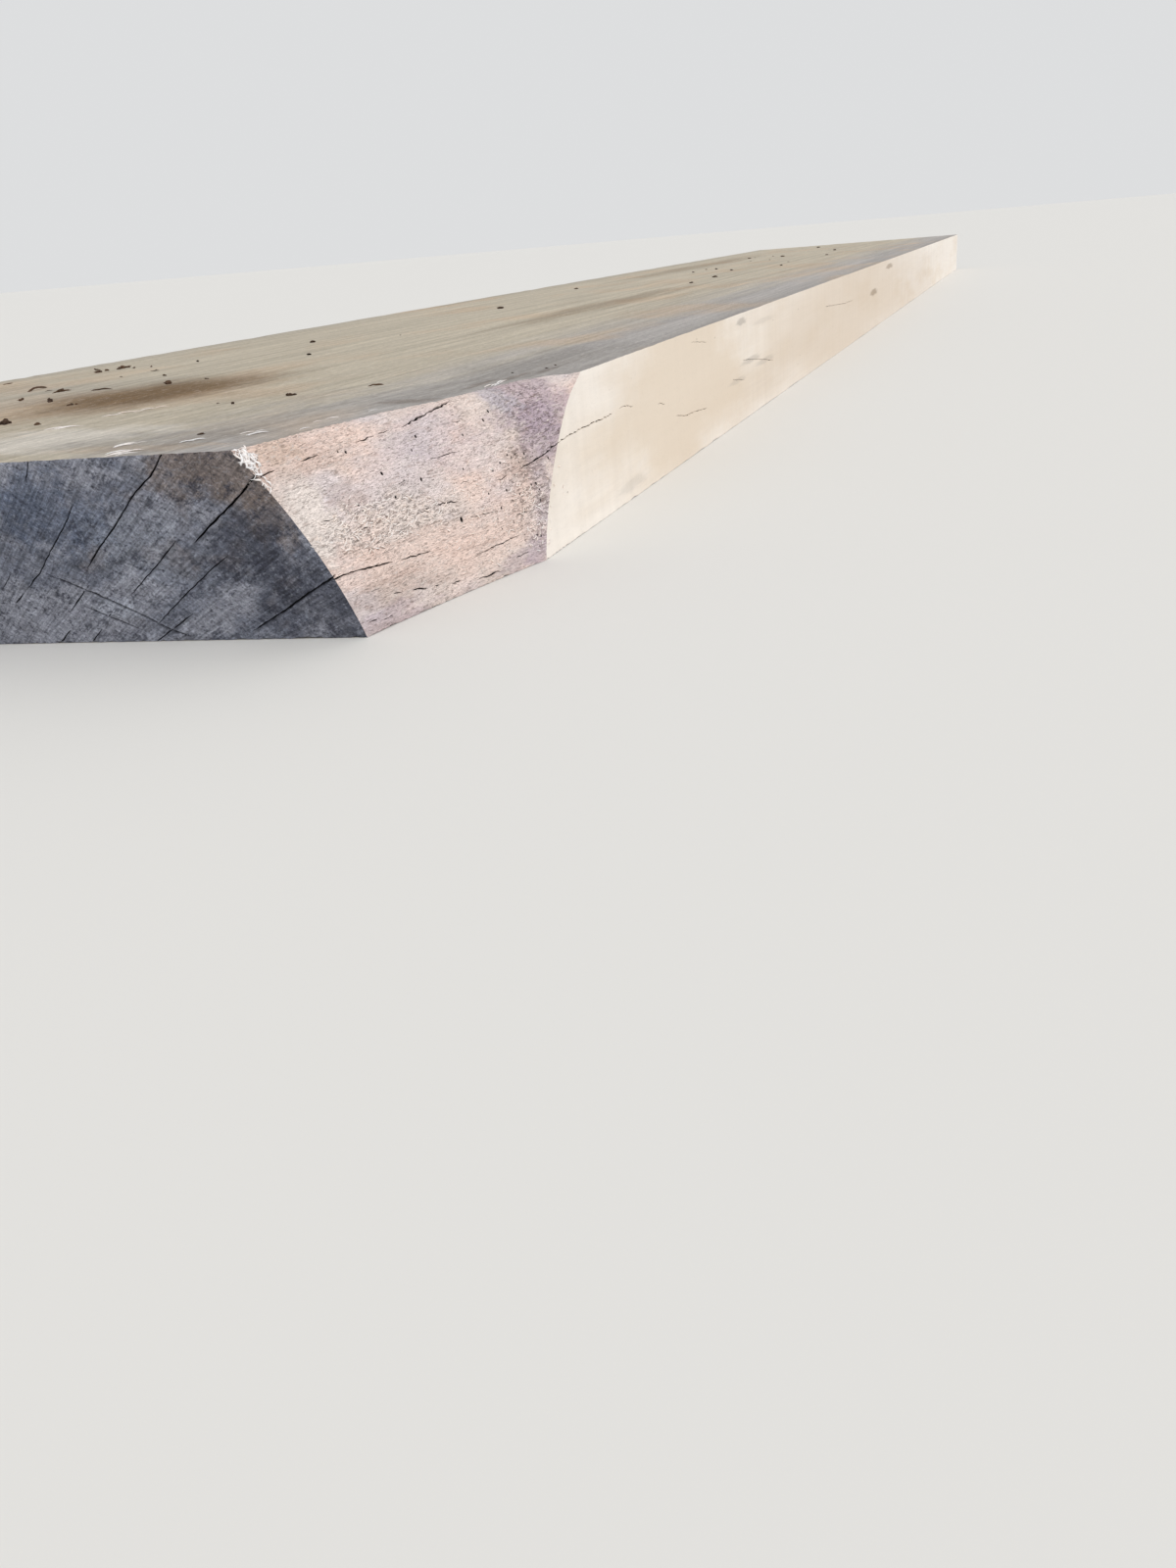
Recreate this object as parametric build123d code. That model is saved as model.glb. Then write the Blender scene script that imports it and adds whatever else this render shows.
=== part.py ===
from build123d import *
import os
from math import cos, hypot, radians, sin, tan

# A thick beech plank, sawn through and through from a log and then edged to width.
# X runs across the plank, Y along it and Z up from its underside. The waney end is at -Y.
# The plank is what the saw left of the log, so it is built the same way: a turned log,
# a slab between two saw cuts, two edging cuts and two cross cuts.
# While it is built, Y = 0 is the waney corner, where the end cut, the underside and the wane meet.

# Driving sizes, in millimetres and degrees
plank_length = 3830.0  # waney corner to far end, along the underside
plank_width = 620.0  # between the two edging cuts
plank_thickness = 100.0  # between the two slab cuts
pith_depth = 28.0  # heart of the log below the underside
end_inset = 38.0  # wane at the waney corner: underside's arris in from the edging cut
wane_run = 236.0  # waney corner to where the wane leaves the upper arris
wane_hollow = 4.5  # how far the log's swelling outline sags below its chord
end_skew = 7.5  # end cut out of square, in degrees, seen from above
end_overhang = 28.0  # how far the end cut's upper edge stands out past its lower one
log_spare = 12.0  # wood of the log outside the plank's upper arrises, past the wane

# Sizes that follow
half_width = plank_width / 2
corner_x = half_width - end_inset
corner_radius = hypot(corner_x, pith_depth)
arris_radius = hypot(half_width, pith_depth + plank_thickness)
end_reach = plank_width * tan(radians(end_skew)) + end_overhang


def turned_log():
    """The log, swelling from the end cut to its full girth, turned about its pith."""
    swell = SagittaArc((corner_radius, 0), (arris_radius, wane_run), wane_hollow)
    small_end = swell @ 0 - (swell % 0) * (end_reach / (swell % 0).Y)
    full_girth = swell @ 1 + (swell % 1) * (log_spare / (swell % 1).X)
    outline = Wire([
        Line(small_end, swell @ 0),
        swell,
        Line(swell @ 1, full_girth),
        Line(full_girth, (full_girth.X, plank_length)),
        Line((full_girth.X, plank_length), (0, plank_length)),
        Line((0, plank_length), (0, small_end.Y)),
        Line((0, small_end.Y), small_end),
    ])
    return Pos(0, 0, -pith_depth) * revolve(make_face(outline), Axis.Y)


def edged_slab():
    """The block between the slab cuts, the edging cuts and the square far end."""
    block = Box(plank_width, plank_length + end_reach, plank_thickness, align=(Align.CENTER, Align.MAX, Align.MIN))
    return Pos(0, plank_length, 0) * block


def end_cut():
    """Plane of the waney end's cross cut, through its lower and upper edges, facing into the wood."""
    across = Vector(cos(radians(end_skew)), sin(radians(end_skew)), 0)
    up = Vector(0, -end_overhang, plank_thickness)
    return Plane(origin=(corner_x, 0, 0), x_dir=across, z_dir=up.cross(across))


def beech_plank():
    """The plank, with the middle of its length and width over the origin."""
    wood = split(edged_slab() & turned_log(), bisect_by=end_cut(), keep=Keep.TOP)
    box = wood.bounding_box()
    return Pos(-box.center().X, -box.center().Y, -box.min.Z) * wood


plank = beech_plank()
os.makedirs("parts", exist_ok=True)
export_step(plank, "parts/plank.step")
print("plank", [round(size, 1) for size in plank.bounding_box().size], "volume", round(plank.volume / 1e6, 1), "litres")
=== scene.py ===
import math
from functools import reduce

import bmesh
import bpy
import numpy as np
from bpy.props import FloatProperty, FloatVectorProperty, IntProperty, PointerProperty
from mathutils import Matrix, Vector, kdtree, noise
from mathutils.geometry import delaunay_2d_cdt


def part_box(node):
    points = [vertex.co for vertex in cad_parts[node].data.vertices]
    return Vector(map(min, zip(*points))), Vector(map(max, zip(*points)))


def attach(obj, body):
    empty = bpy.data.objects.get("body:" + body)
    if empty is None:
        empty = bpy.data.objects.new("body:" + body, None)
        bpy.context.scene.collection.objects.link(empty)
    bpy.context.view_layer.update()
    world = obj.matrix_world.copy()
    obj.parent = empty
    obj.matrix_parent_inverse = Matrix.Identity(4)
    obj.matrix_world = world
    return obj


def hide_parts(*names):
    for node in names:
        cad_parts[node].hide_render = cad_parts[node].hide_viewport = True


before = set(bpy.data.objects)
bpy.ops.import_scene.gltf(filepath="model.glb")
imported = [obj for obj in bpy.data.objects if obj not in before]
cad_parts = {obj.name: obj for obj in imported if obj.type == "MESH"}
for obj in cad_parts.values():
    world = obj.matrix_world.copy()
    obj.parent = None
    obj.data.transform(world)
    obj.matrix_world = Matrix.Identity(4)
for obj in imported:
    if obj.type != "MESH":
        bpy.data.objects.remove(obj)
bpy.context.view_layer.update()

bl_info = {
    "name": "Beech Plank",
    "version": (1, 0, 0),
    "blender": (4, 5, 0),
    "location": "View3D > Sidebar > Beech Plank",
    "description": "Dresses a thick sawn beech plank with its wane, splits, weathering and torn fibres",
    "category": "Add Mesh",
}

# Lengths are in metres. X runs across the plank, Y along it and Z up. s is the distance along the
# plank from its waney corner, where the end cut, the underside and the right-hand wane meet.
MM = 0.001
NODE, BODY, SLOT = "plank", "root", "beech"
_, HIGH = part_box(NODE)
HALF_WIDTH, THICKNESS, FAR_Y = HIGH.x, HIGH.z, HIGH.y


# Settings that a user would change

def metres(name, description, default):
    """A length setting."""
    return FloatProperty(name=name, description=description, default=default, unit="LENGTH", precision=4)


def degrees(name, description, default):
    """An angle setting."""
    return FloatProperty(name=name, description=description, default=math.radians(default), subtype="ANGLE")


def number(name, description, default):
    """A setting without a unit."""
    return FloatProperty(name=name, description=description, default=default)


def linear(code):
    """Light values of a screen colour such as 8090A0."""
    screen = [int(code[k:k + 2], 16) / 255 for k in (0, 2, 4)]
    return tuple(v / 12.92 if v <= 0.04045 else ((v + 0.055) / 1.055) ** 2.4 for v in screen)


def tint(name, description, code):
    """A colour setting, from its screen colour code."""
    kind = {"size": 3, "min": 0, "max": 1, "subtype": "COLOR"}
    return FloatVectorProperty(name=name, description=description, default=linear(code), **kind)


class PlankShape(bpy.types.PropertyGroup):
    """Where the saws and the log's skin bound the plank."""

    length: metres("Length", "Waney corner to far end, along the underside", 3.830)
    axis_depth: metres("Log axis depth", "Middle of the log's outline below the underside", 0.028)
    end_inset: metres("End inset", "Wane at the waney corner, in from the edging cut", 0.038)
    wane_run: metres("Wane run", "Waney corner to where the wane leaves the upper arris", 0.236)
    wane_hollow: metres("Wane hollow", "Sag of the log's outline below its chord", 0.0045)
    end_skew: degrees("End skew", "End cut out of square", 7.5)
    end_overhang: metres(
        "End overhang", "How far the end cut's upper edge stands out past its lower one", 0.028)
    arris_wear: metres("Arris wear", "How far handling has worn the arrises back", 0.0006)
    heart_x: metres("Heart across", "Pith of the log, across from the plank's middle", -0.125)
    heart_depth: metres("Heart depth", "Pith of the log below the underside", 0.173)
    seed: IntProperty(name="Seed", description="Start of every random draw", default=7)


class PlankColours(bpy.types.PropertyGroup):
    """The wood's colours."""

    slate: tint("Slate", "Weathered end grain", "757986")
    steel: tint("Steel", "Paler patches of the end", "9698A3")
    # Also the colour of the painted shade over a few dark areas of the end.
    soot: tint("Soot", "Darkest end grain", "3C3E4A")
    ink: tint("Ink", "Bluer patches of the end", "54627A")
    frost: tint("Frost", "Palest flecks of the end", "AFB4C0")
    umber: tint("Umber", "End grain by the wane", "7A6C63")
    # Painted shade: the depths of splits and beetle holes are painted in this colour; the crumbs also use it
    # as their own darkest colour.
    hollow: tint("Hollow", "Depths of splits and beetle holes", "1B1716")
    biscuit: tint("Biscuit", "Wane, bare wood under the bark", "DECEC6")
    salmon: tint("Salmon", "Wane, warmer patches", "E9CFC3")
    petal: tint("Petal", "Wane, cooler patches", "DCD1D2")
    chalk: tint("Chalk", "Pale lifted fibre", "E9DDD6")
    # Also laid low on the wane, by its foot, as painted shade.
    mauve: tint("Mauve", "Stain by the wane's far end", "A896A4")
    # Also laid into the crevices of the wane's crust as painted shade.
    rind: tint("Rind", "Brown left of the inner bark", "A08478")
    cream: tint("Cream", "Clean edge-sawn wood", "F0E8DF")
    # Also laid over the farther part of the right edge as painted shade.
    honey: tint("Honey", "Warmer bands of the sawn edge", "DFCFBB")
    # Also laid as a broad wash of painted shade on the upper face, left of the middle.
    mildew: tint("Mildew", "Grey smudges", "8C8781")
    driftwood: tint("Driftwood", "Sun-greyed upper face", "A5A1A0")
    straw: tint("Straw", "Less weathered streaks of the upper face", "B7AD9B")
    # Also laid in nested blots that make a darker brown patch near s 250 on the upper face.
    tannin: tint("Tannin", "Brown stains on the upper face", "62461C")
    # Also laid thinly along the farther part of the right edge as painted shade.
    fawn: tint("Fawn", "Warm patches of the upper face", "BCA48A")
    peat: tint("Peat", "Darkest brown: knots and crumbs", "5A4434")
    lint: tint("Lint", "Curled fibre on the wane", "F3E2D6")
    floss: tint("Floss", "Whitest torn fibre", "F2F0F0")
    floor: tint("Floor", "Pale floor", "DEDCD8")


class StudioSettings(bpy.types.PropertyGroup):
    """Floor, lights and camera."""

    focal_mm: number("Focal length", "For a 36 mm long side, in millimetres", 28.8)
    roll: degrees("Roll", "Camera's tilt clockwise", 4.92)
    pitch: degrees("Pitch", "Camera's tilt down", 23.4)
    yaw: degrees("Yaw", "Camera's turn to the left of the grain", 20.68)
    stand_x: metres("Stand across", "Camera to the right of the edging cut", 0.2788)
    stand_s: metres("Stand along", "Camera in front of the waney corner", -0.5414)
    stand_z: metres("Stand height", "Camera above the underside", 0.1764)
    sun: number("Soft sun", "Strength of the wide soft light from the right", 1.5)
    sun_width: degrees("Sun width", "Angle that the soft light fills", 50)
    sky: number("Surround", "Strength of the even light all round", 0.74)


# The log and the cuts

class Log:
    """The log's swelling skin and the plank's end cut, all in metres."""

    def __init__(self, shape):
        self.axis = shape.axis_depth
        self.run = shape.wane_run
        self.length = shape.length
        self.corner_x = HALF_WIDTH - shape.end_inset
        self.overhang = shape.end_overhang / THICKNESS
        self.skew = math.tan(shape.end_skew)
        self.heart = (shape.heart_x, -shape.heart_depth)
        first = math.hypot(self.corner_x, self.axis)
        last = math.hypot(HALF_WIDTH, self.axis + THICKNESS)
        chord = math.hypot(last - first, self.run)
        self.bend = chord ** 2 / (8 * shape.wane_hollow) + shape.wane_hollow / 2
        out = (self.bend - shape.wane_hollow) / chord
        self.centre_s = self.run / 2 - out * (last - first)
        self.centre_r = (first + last) / 2 + out * self.run
        self.full_radius = last

    def slope(self, s):
        """How fast the log's radius grows along it."""
        reach = np.clip(s, 0, self.run) - self.centre_s
        return reach / np.sqrt(self.bend ** 2 - reach ** 2)

    def radius(self, s):
        """Radius of the log's skin, on an arc along the wane and straight past its ends."""
        near = np.clip(s, 0, self.run)
        arc = self.centre_r - np.sqrt(self.bend ** 2 - (near - self.centre_s) ** 2)
        return arc + (s - near) * self.slope(s)

    def end_s(self, x, z):
        """The end cut's place along the plank."""
        return (x - self.corner_x) * self.skew - z * self.overhang

    def past_end(self, places):
        """How far places lie past the end cut."""
        return places[:, 1] - self.end_s(places[:, 0], places[:, 2])

    def end_way(self):
        """Outward direction of the end cut."""
        way = np.array((self.skew, -1.0, -self.overhang))
        return way / math.sqrt(1 + self.skew ** 2 + self.overhang ** 2)

    def fibre(self, points):
        """Points in the wood's own frame: the fibres spread with the log, and its heart is the origin."""
        spread = self.full_radius / np.minimum(self.radius(points[:, 1]), self.full_radius)
        near = self.full_radius / self.radius(0.0)
        across = points[:, 0] * spread - self.heart[0] * near
        up = (points[:, 2] + self.axis) * spread - (self.heart[1] + self.axis) * near
        return np.stack([across, points[:, 1], up], 1)


class Wane:
    """The log's skin down one side, followed by its angle about the log's axis and by s."""

    ARM = 0.3  # metres of girth for each radian, so that flat coordinates keep their lengths
    CURL = 0.021  # how far, in radians, the upper rim's fall reaches down the skin
    PROBE = 0.2 * MM  # how far to each side a slope is taken
    SEARCH = (-0.25, 0.40)  # s between which a cut is looked for
    FIRST_ANGLE, LAST_ANGLE = 0.3, 0.5  # radians between which the skin's corners lie
    HALVINGS, ROUNDS, GIRTH_HALVINGS = 40, 60, 30  # steps that bring a search to its end

    def __init__(self, log, side, falls, bulge):
        self.log, self.side, self.bulge = log, side, bulge
        self.falls = np.array(falls, float) * MM

    def fall(self, s):
        """How far the skin has sunk inside the log's round at its upper rim."""
        return np.interp(s, self.falls[:, 0], self.falls[:, 1])

    def foot_angle(self, s):
        """Angle at which the skin meets the underside."""
        return np.arcsin(self.log.axis / self.log.radius(s))

    def rim_angle(self, s):
        """Angle at which the skin meets the upper face."""
        return np.arcsin((self.log.axis + THICKNESS) / (self.log.radius(s) - self.fall(s)))

    def reach(self, angle, s):
        """The skin's distance from the log's axis."""
        rim, foot = self.rim_angle(s), self.foot_angle(s)
        share = np.clip((angle - foot) / (rim - foot), 0, 1)
        swell = self.bulge * np.sin(math.pi * share) * np.clip(s / self.log.run, 0, 1)
        return self.log.radius(s) + swell - self.fall(s) * np.exp(np.minimum(angle - rim, 0) / self.CURL)

    def place(self, flat):
        """Flat coordinates (girth, s) put on the skin."""
        angle, s = flat[:, 0] / self.ARM, flat[:, 1]
        reach = self.reach(angle, s)
        return np.stack([self.side * reach * np.cos(angle), s, reach * np.sin(angle) - self.log.axis], 1)

    def flatten(self, points):
        """Points on the skin as flat coordinates."""
        angle = np.arctan2(points[:, 2] + self.log.axis, self.side * points[:, 0])
        return np.stack([angle * self.ARM, points[:, 1]], 1)

    def normal(self, points):
        """Outward direction, from the skin's slopes."""
        flat = self.flatten(points)
        girth = self.place(flat + (self.PROBE, 0)) - self.place(flat - (self.PROBE, 0))
        down = self.place(flat + (0, self.PROBE)) - self.place(flat - (0, self.PROBE))
        out = np.cross(down, girth) * self.side
        return out / np.linalg.norm(out, axis=1)[:, None]

    def meet(self, angles, past):
        """Where the skin meets a cut, for each angle: past is above zero beyond the cut."""
        near, far = (np.full_like(angles, s) for s in self.SEARCH)
        for _ in range(self.HALVINGS):
            middle = (near + far) / 2
            beyond = past(self.place(np.stack([angles * self.ARM, middle], 1))) > 0
            near, far = np.where(beyond, near, middle), np.where(beyond, middle, far)
        return self.place(np.stack([angles * self.ARM, near], 1))

    def corner_angle(self, angle_at, past):
        """Angle of the corner where a cut, the skin and its rim or foot all meet."""
        angle = np.array([self.FIRST_ANGLE])
        for _ in range(self.ROUNDS):
            angle = (angle + angle_at(self.meet(angle, past)[:, 1])) / 2
        return float(angle[0])


# How far each wane's upper rim has fallen inside the log's round, as (s, fall), in millimetres
RIGHT_FALLS = (
    (-60, 0), (-35, 0), (0, 1), (40, 5), (84, 8), (121, 6), (147, 9), (182, 15), (210, 17.5), (228, 15.5),
    (240, 8), (250, 3), (300, 0),
)
LEFT_FALLS = ((-110, 0), (-60, 2), (20, 5), (90, 3), (150, 7), (210, 5), (300, 4))

RIGHT_BULGE, LEFT_BULGE = 1.3 * MM, 0.8 * MM  # how far each wane swells out between its foot and its rim

# Splits: a line of points, its width and depth in millimetres, and the arrises it runs over, if any
# On the end, as (x, z)
END_SPLITS = (
    (((129, 98), (126, 94), (122, 89)), 0.95, 3.0, "rim"),
    (((143, 78.5), (134.5, 68.5), (117, 52), (106.5, 41.5), (94, 32)), 0.8, 3.0),
    (((91.5, 30.5), (82.5, 23.5)), 0.9, 2.5), (((90, 42), (85, 37), (80, 32.5)), 0.5, 1.5),
    (((199.5, 99), (190, 90), (176, 80.5), (160, 65.5), (143, 51.5), (133, 42)), 0.95, 4.0, "rim"),
    (((131, 34), (118, 23), (111, 17.5)), 0.9, 2.5), (((108, 8), (98, 1)), 1.0, 2.5, None, "foot"),
    (((241.5, 86.5), (227, 75), (211, 64), (197, 54)), 1.3, 5.0, "wane"),
    (((190, 57), (172.5, 43), (150.5, 26.5)), 0.75, 3.0), (((136, 17), (132.5, 14.5)), 0.6, 1.5),
    (((127, 8.5), (117, 1)), 0.7, 2.0, None, "foot"),
    (((214, 48), (199, 38.5), (183, 27.5), (160, 10.5)), 0.7, 2.5),
    (((183, 16.5), (168.5, 8), (155, 1)), 0.9, 2.5, None, "foot"),
    (((266.5, 34.5), (249, 26), (229.5, 14.5), (210, 4.5)), 1.3, 5.0, "wane"),
    (((110, 40), (125, 32), (142, 23), (155, 15), (165, 7), (177, 2)), 1.9, 3.5),
    (((121, 22.5), (132, 16), (142, 11), (150, 6.5)), 1.7, 3.0), (((72, 84), (63, 71), (52, 52)), 0.8, 2.5),
    (((28, 70), (22, 55), (13, 33)), 0.9, 2.5), (((-9, 92), (-13, 72), (-18, 47)), 0.8, 2.5),
    (((40, 30), (33, 16), (25, 1)), 0.7, 2.0, None, "foot"), (((-52, 66), (-55, 40), (-58, 22)), 0.8, 2.5),
    (((-96, 99), (-98, 80), (-101, 55)), 0.8, 2.5, "rim"), (((-140, 74), (-138, 50), (-136, 33)), 0.8, 2.5),
    (((-176, 88), (-172, 64), (-167, 42)), 0.9, 2.5), (((-213, 70), (-206, 48), (-199, 30)), 0.8, 2.5),
)
# On the wane, as (s, z)
WANE_SPLITS = (
    (((-25, 87), (-18, 87), (-14, 87.5)), 0.9, 2.5, "end"), (((3, 88.5), (11, 88.5), (18, 89)), 0.9, 1.5),
    (((46, 90), (53, 90.5), (60, 91)), 1.2, 2.0), (((63, 91.5), (67, 91.5), (73, 92)), 1.2, 2.0),
    (((81, 92), (90, 93), (98, 94), (110, 96), (120, 97.5), (129, 98.4), (136, 99.1)), 1.5, 2.5),
    (((90, 73.5), (99, 73.5), (117, 73.5)), 0.6, 1.2), (((62, 48.5), (68, 49.5), (76, 50)), 0.9, 1.5),
    (((79, 50), (86, 50), (99, 48.5)), 0.9, 1.5), (((101, 38.5), (111, 38), (128, 37)), 0.6, 1.2),
    (((-7, 34), (0, 33.5), (12, 32.5), (28, 31), (35, 30.5)), 1.2, 3.0, "end"),
    (((38, 30), (53, 29.5), (66, 28.5)), 0.9, 1.5),
    (((98, 18), (112, 18.5), (127, 19.5), (142, 20)), 0.7, 1.5),
    (((134, 53), (140, 53.5), (145, 54)), 0.8, 1.2),
    (((156, 55.5), (168, 57), (179, 59), (198, 62)), 1.2, 2.5, None, "crease"),
    (((26, 15.5), (35, 14.5)), 0.9, 1.2), (((41, 13.5), (54, 11.5)), 1.0, 1.5),
    (((59, 11), (64, 10.5)), 0.9, 1.2), (((73, 8.5), (82, 8)), 1.1, 1.5),
    (((95, 5), (104, 4.5), (114, 4.5), (121, 4)), 1.3, 2.0), (((3, 7.5), (10, 7)), 0.8, 1.0),
    (((13, 5.5), (22, 5)), 0.8, 1.0), (((-3, 60), (4, 59.5)), 0.7, 1.0), (((20, 51), (30, 50)), 0.7, 1.0),
    (((140, 31), (150, 31.5), (156, 31)), 0.9, 1.2), (((120, 88), (128, 88.5)), 0.8, 1.0),
    (((132, 8), (146, 9)), 0.9, 1.2), (((58, 66), (66, 66.5)), 0.6, 0.8),
    (((104, 57), (113, 57.5)), 0.6, 0.8), (((10, 21), (19, 20.5)), 0.6, 0.8),
)
# On the sawn edge, as (s, z)
EDGE_SPLITS = (
    (((198, 62), (220, 65), (241, 65.5), (262, 65.5), (279, 65), (308, 65.5)), 1.0, 3.0, "crease"),
    (((320, 66.5), (339, 66.5), (357, 63)), 0.6, 1.5), (((419, 57), (441, 53.5)), 0.5, 1.0),
    (((470, 40.5), (503, 36), (538, 34.5), (575, 32)), 0.8, 2.0), (((677, 43.5), (734, 37.5)), 0.6, 1.0),
    (((725, 56.5), (793, 50.5), (876, 40.5)), 0.7, 1.5), (((530, 91.5), (585, 86)), 0.5, 1.0),
    (((1240, 70), (1420, 62), (1500, 61)), 0.8, 1.5),
)
# Beetle holes on the wane, as (s, z) and width
BORE_HOLES = (
    (35, 87, 1.7), (25, 62, 1.5), (51, 73, 2.0), (53, 60, 1.9), (88, 86, 1.7), (77, 65, 2.0), (80, 80, 1.3),
    (153, 90, 1.8), (145, 86, 1.7), (95, 39, 2.7), (166, 45, 1.6), (123, 81, 1.4), (112, 64, 1.3),
    (30, 88, 1.2),
)
PITTED = (124, 192, 8, 66)  # the pitted part of the wane, as s from and to and z from and to
PITS = 70
PIT_WIDTHS = (0.6, 1.5)
HOLE_DEPTH = 1.6 * MM
# Free space from a hole to other holes and splits, and to the arrises
HOLE_APART, RIM_APART = 2.6 * MM, 4 * MM
SPLIT_LOOKS = 40  # places along a split at which a hole is kept away
MOUTH_DEPTH = 0.5  # how far an arris opens, as a share of the split's depth
END_RAGGED, RAGGED = 0.45, 1.0  # how unevenly a split runs, in hard end grain and along the grain


def along(points, shares):
    """Places along a polyline at given shares of its length, and its length."""
    steps = np.linalg.norm(np.diff(points, axis=0), axis=1)
    way = np.concatenate([[0], np.cumsum(steps)])
    places = [np.interp(shares * way[-1], way, points[:, k]) for k in range(points.shape[1])]
    return np.stack(places, 1), way[-1]


def ripple(points, size, octaves=3):
    """Smooth noise over points, about -1 to 1, whose bumps have a size along each axis."""
    fading, finer = 0.6, 2.1  # how each octave's strength and size change
    x, y, z = Vector(size)
    places = (Vector((p[0] / x, p[1] / y, p[2] / z)) for p in points)
    return np.array([noise.fractal(place, fading, finer, octaves) for place in places])


class Split:
    """A crack in one face: its line in the face's own coordinates, its half width, depth and arrises."""

    PACE = 2.2 * MM  # distance between a split's points
    TIP, TIP_SHARE = 9 * MM, 0.3  # length of its closing tips, at most this share of the whole
    TIP_POWER = 0.6  # how bluntly they close
    SWAY = 0.25 * MM  # how far its middle strays
    SWELL = (-0.65, 0.25)  # shares by which its width varies
    SOFTENINGS = 4  # times that its line is smoothed
    FEWEST = 4  # steps that the shortest split has

    def __init__(self, line, width, depth, ragged, mouths):
        self.line, self.half, self.depth = line, width / 2, depth
        self.ragged, self.mouths = ragged, mouths

    def lines(self, rng):
        """The split's middle line, and the way aside, half width and depth at each of its points."""
        length = along(self.line, np.array([0.0]))[1]
        shares = np.linspace(0, 1, max(self.FEWEST, int(length / self.PACE)) + 1)
        middle, _ = along(self.line, shares)
        for _ in range(self.SOFTENINGS):
            middle[1:-1] = (middle[:-2] + 2 * middle[1:-1] + middle[2:]) / 4
        heading = np.gradient(middle, axis=0)
        heading /= np.linalg.norm(heading, axis=1)[:, None]
        aside = np.stack([-heading[:, 1], heading[:, 0]], 1)
        taper, tip = np.ones(len(shares)), min(self.TIP, self.TIP_SHARE * length)
        for mouth, left in zip(self.mouths, (shares, 1 - shares)):
            if mouth is None:
                taper = np.minimum(taper, (left * length / tip) ** self.TIP_POWER)
        sway = rng.normal(0, self.SWAY * self.ragged, len(shares))
        sway[0] = sway[-1] = 0
        middle = middle + aside * sway[:, None]
        half = self.half * taper * (1 + self.ragged * rng.uniform(*self.SWELL, len(shares)))
        half[0], half[-1] = self.half * taper[0], self.half * taper[-1]
        return middle, aside, half, self.depth * taper


class Arris:
    """A line that two faces share, sampled once so that they meet exactly."""

    LOOKS = 4001  # places at which the line is searched for a split's mouth
    APART = 1 * MM  # mouths nearer than this are one
    ROOM = 0.45  # free space beside a mouth, as a share of the step
    RUBBED, CHIPPED = 0.4, 1.5  # shares of the wear, all along and where it is chipped
    CHIPS = (9 * MM, 3 * MM)  # sizes of the chips

    def __init__(self, points, step, faces, wear):
        self.dense = np.asarray(points, float)
        self.total = along(self.dense, np.array([0.0]))[1]
        self.step, self.faces, self.wear = step, faces, wear
        self.mouths = []

    def at(self, share):
        """The place at a share of the line's length."""
        return along(self.dense, np.array([share]))[0][0]

    def open_at(self, point, half, depth):
        """Opens the arris for a split, and says exactly where."""
        shares = np.linspace(0, 1, self.LOOKS)
        dense, _ = along(self.dense, shares)
        best = int(np.linalg.norm(dense - point, axis=1).argmin())
        for share, _, _ in self.mouths:
            if abs(share - shares[best]) * self.total < self.APART:
                return self.at(share)
        self.mouths.append((shares[best], half / self.total, depth))
        return dense[best]

    def sample(self):
        """Places the arris's points: evenly at the local step, with three at each mouth."""
        shares = [0.0]
        while shares[-1] < 1:
            shares.append(shares[-1] + self.step(self.at(shares[-1])) / self.total)
        shares = np.array(shares) / shares[-1]
        gape = {0.0: 0.0}
        for share, half, depth in self.mouths:
            clear = half + self.ROOM * self.step(self.at(share)) / self.total
            shares = shares[(abs(shares - share) > clear) | (shares == 0) | (shares == 1)]
            gape.update({share - half: 0.0, share: depth, share + half: 0.0})
        shares = np.unique(np.concatenate([shares, list(gape)]))
        shares = shares[(shares >= 0) & (shares <= 1)]
        self.points = along(self.dense, shares)[0]
        self.gape = np.array([gape.get(share, 0.0) for share in shares])
        inward = -sum(face.normal(self.points) for face in self.faces)
        inward /= np.linalg.norm(inward, axis=1)[:, None]
        chips = np.array([self.chip(Vector(p)) for p in self.points])
        worn = self.wear * (self.RUBBED + self.CHIPPED * chips)
        self.placed = self.points + inward * (worn + self.gape)[:, None]

    def chip(self, point):
        """How deep wear has bitten at a point, in large and small chips."""
        return sum(max(0.0, noise.noise(point / size)) for size in self.CHIPS)


def tree_of(points):
    """A search tree over flat points."""
    tree = kdtree.KDTree(len(points))
    for index, point in enumerate(points):
        tree.insert((point[0], point[1], 0), index)
    tree.balance()
    return tree


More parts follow.
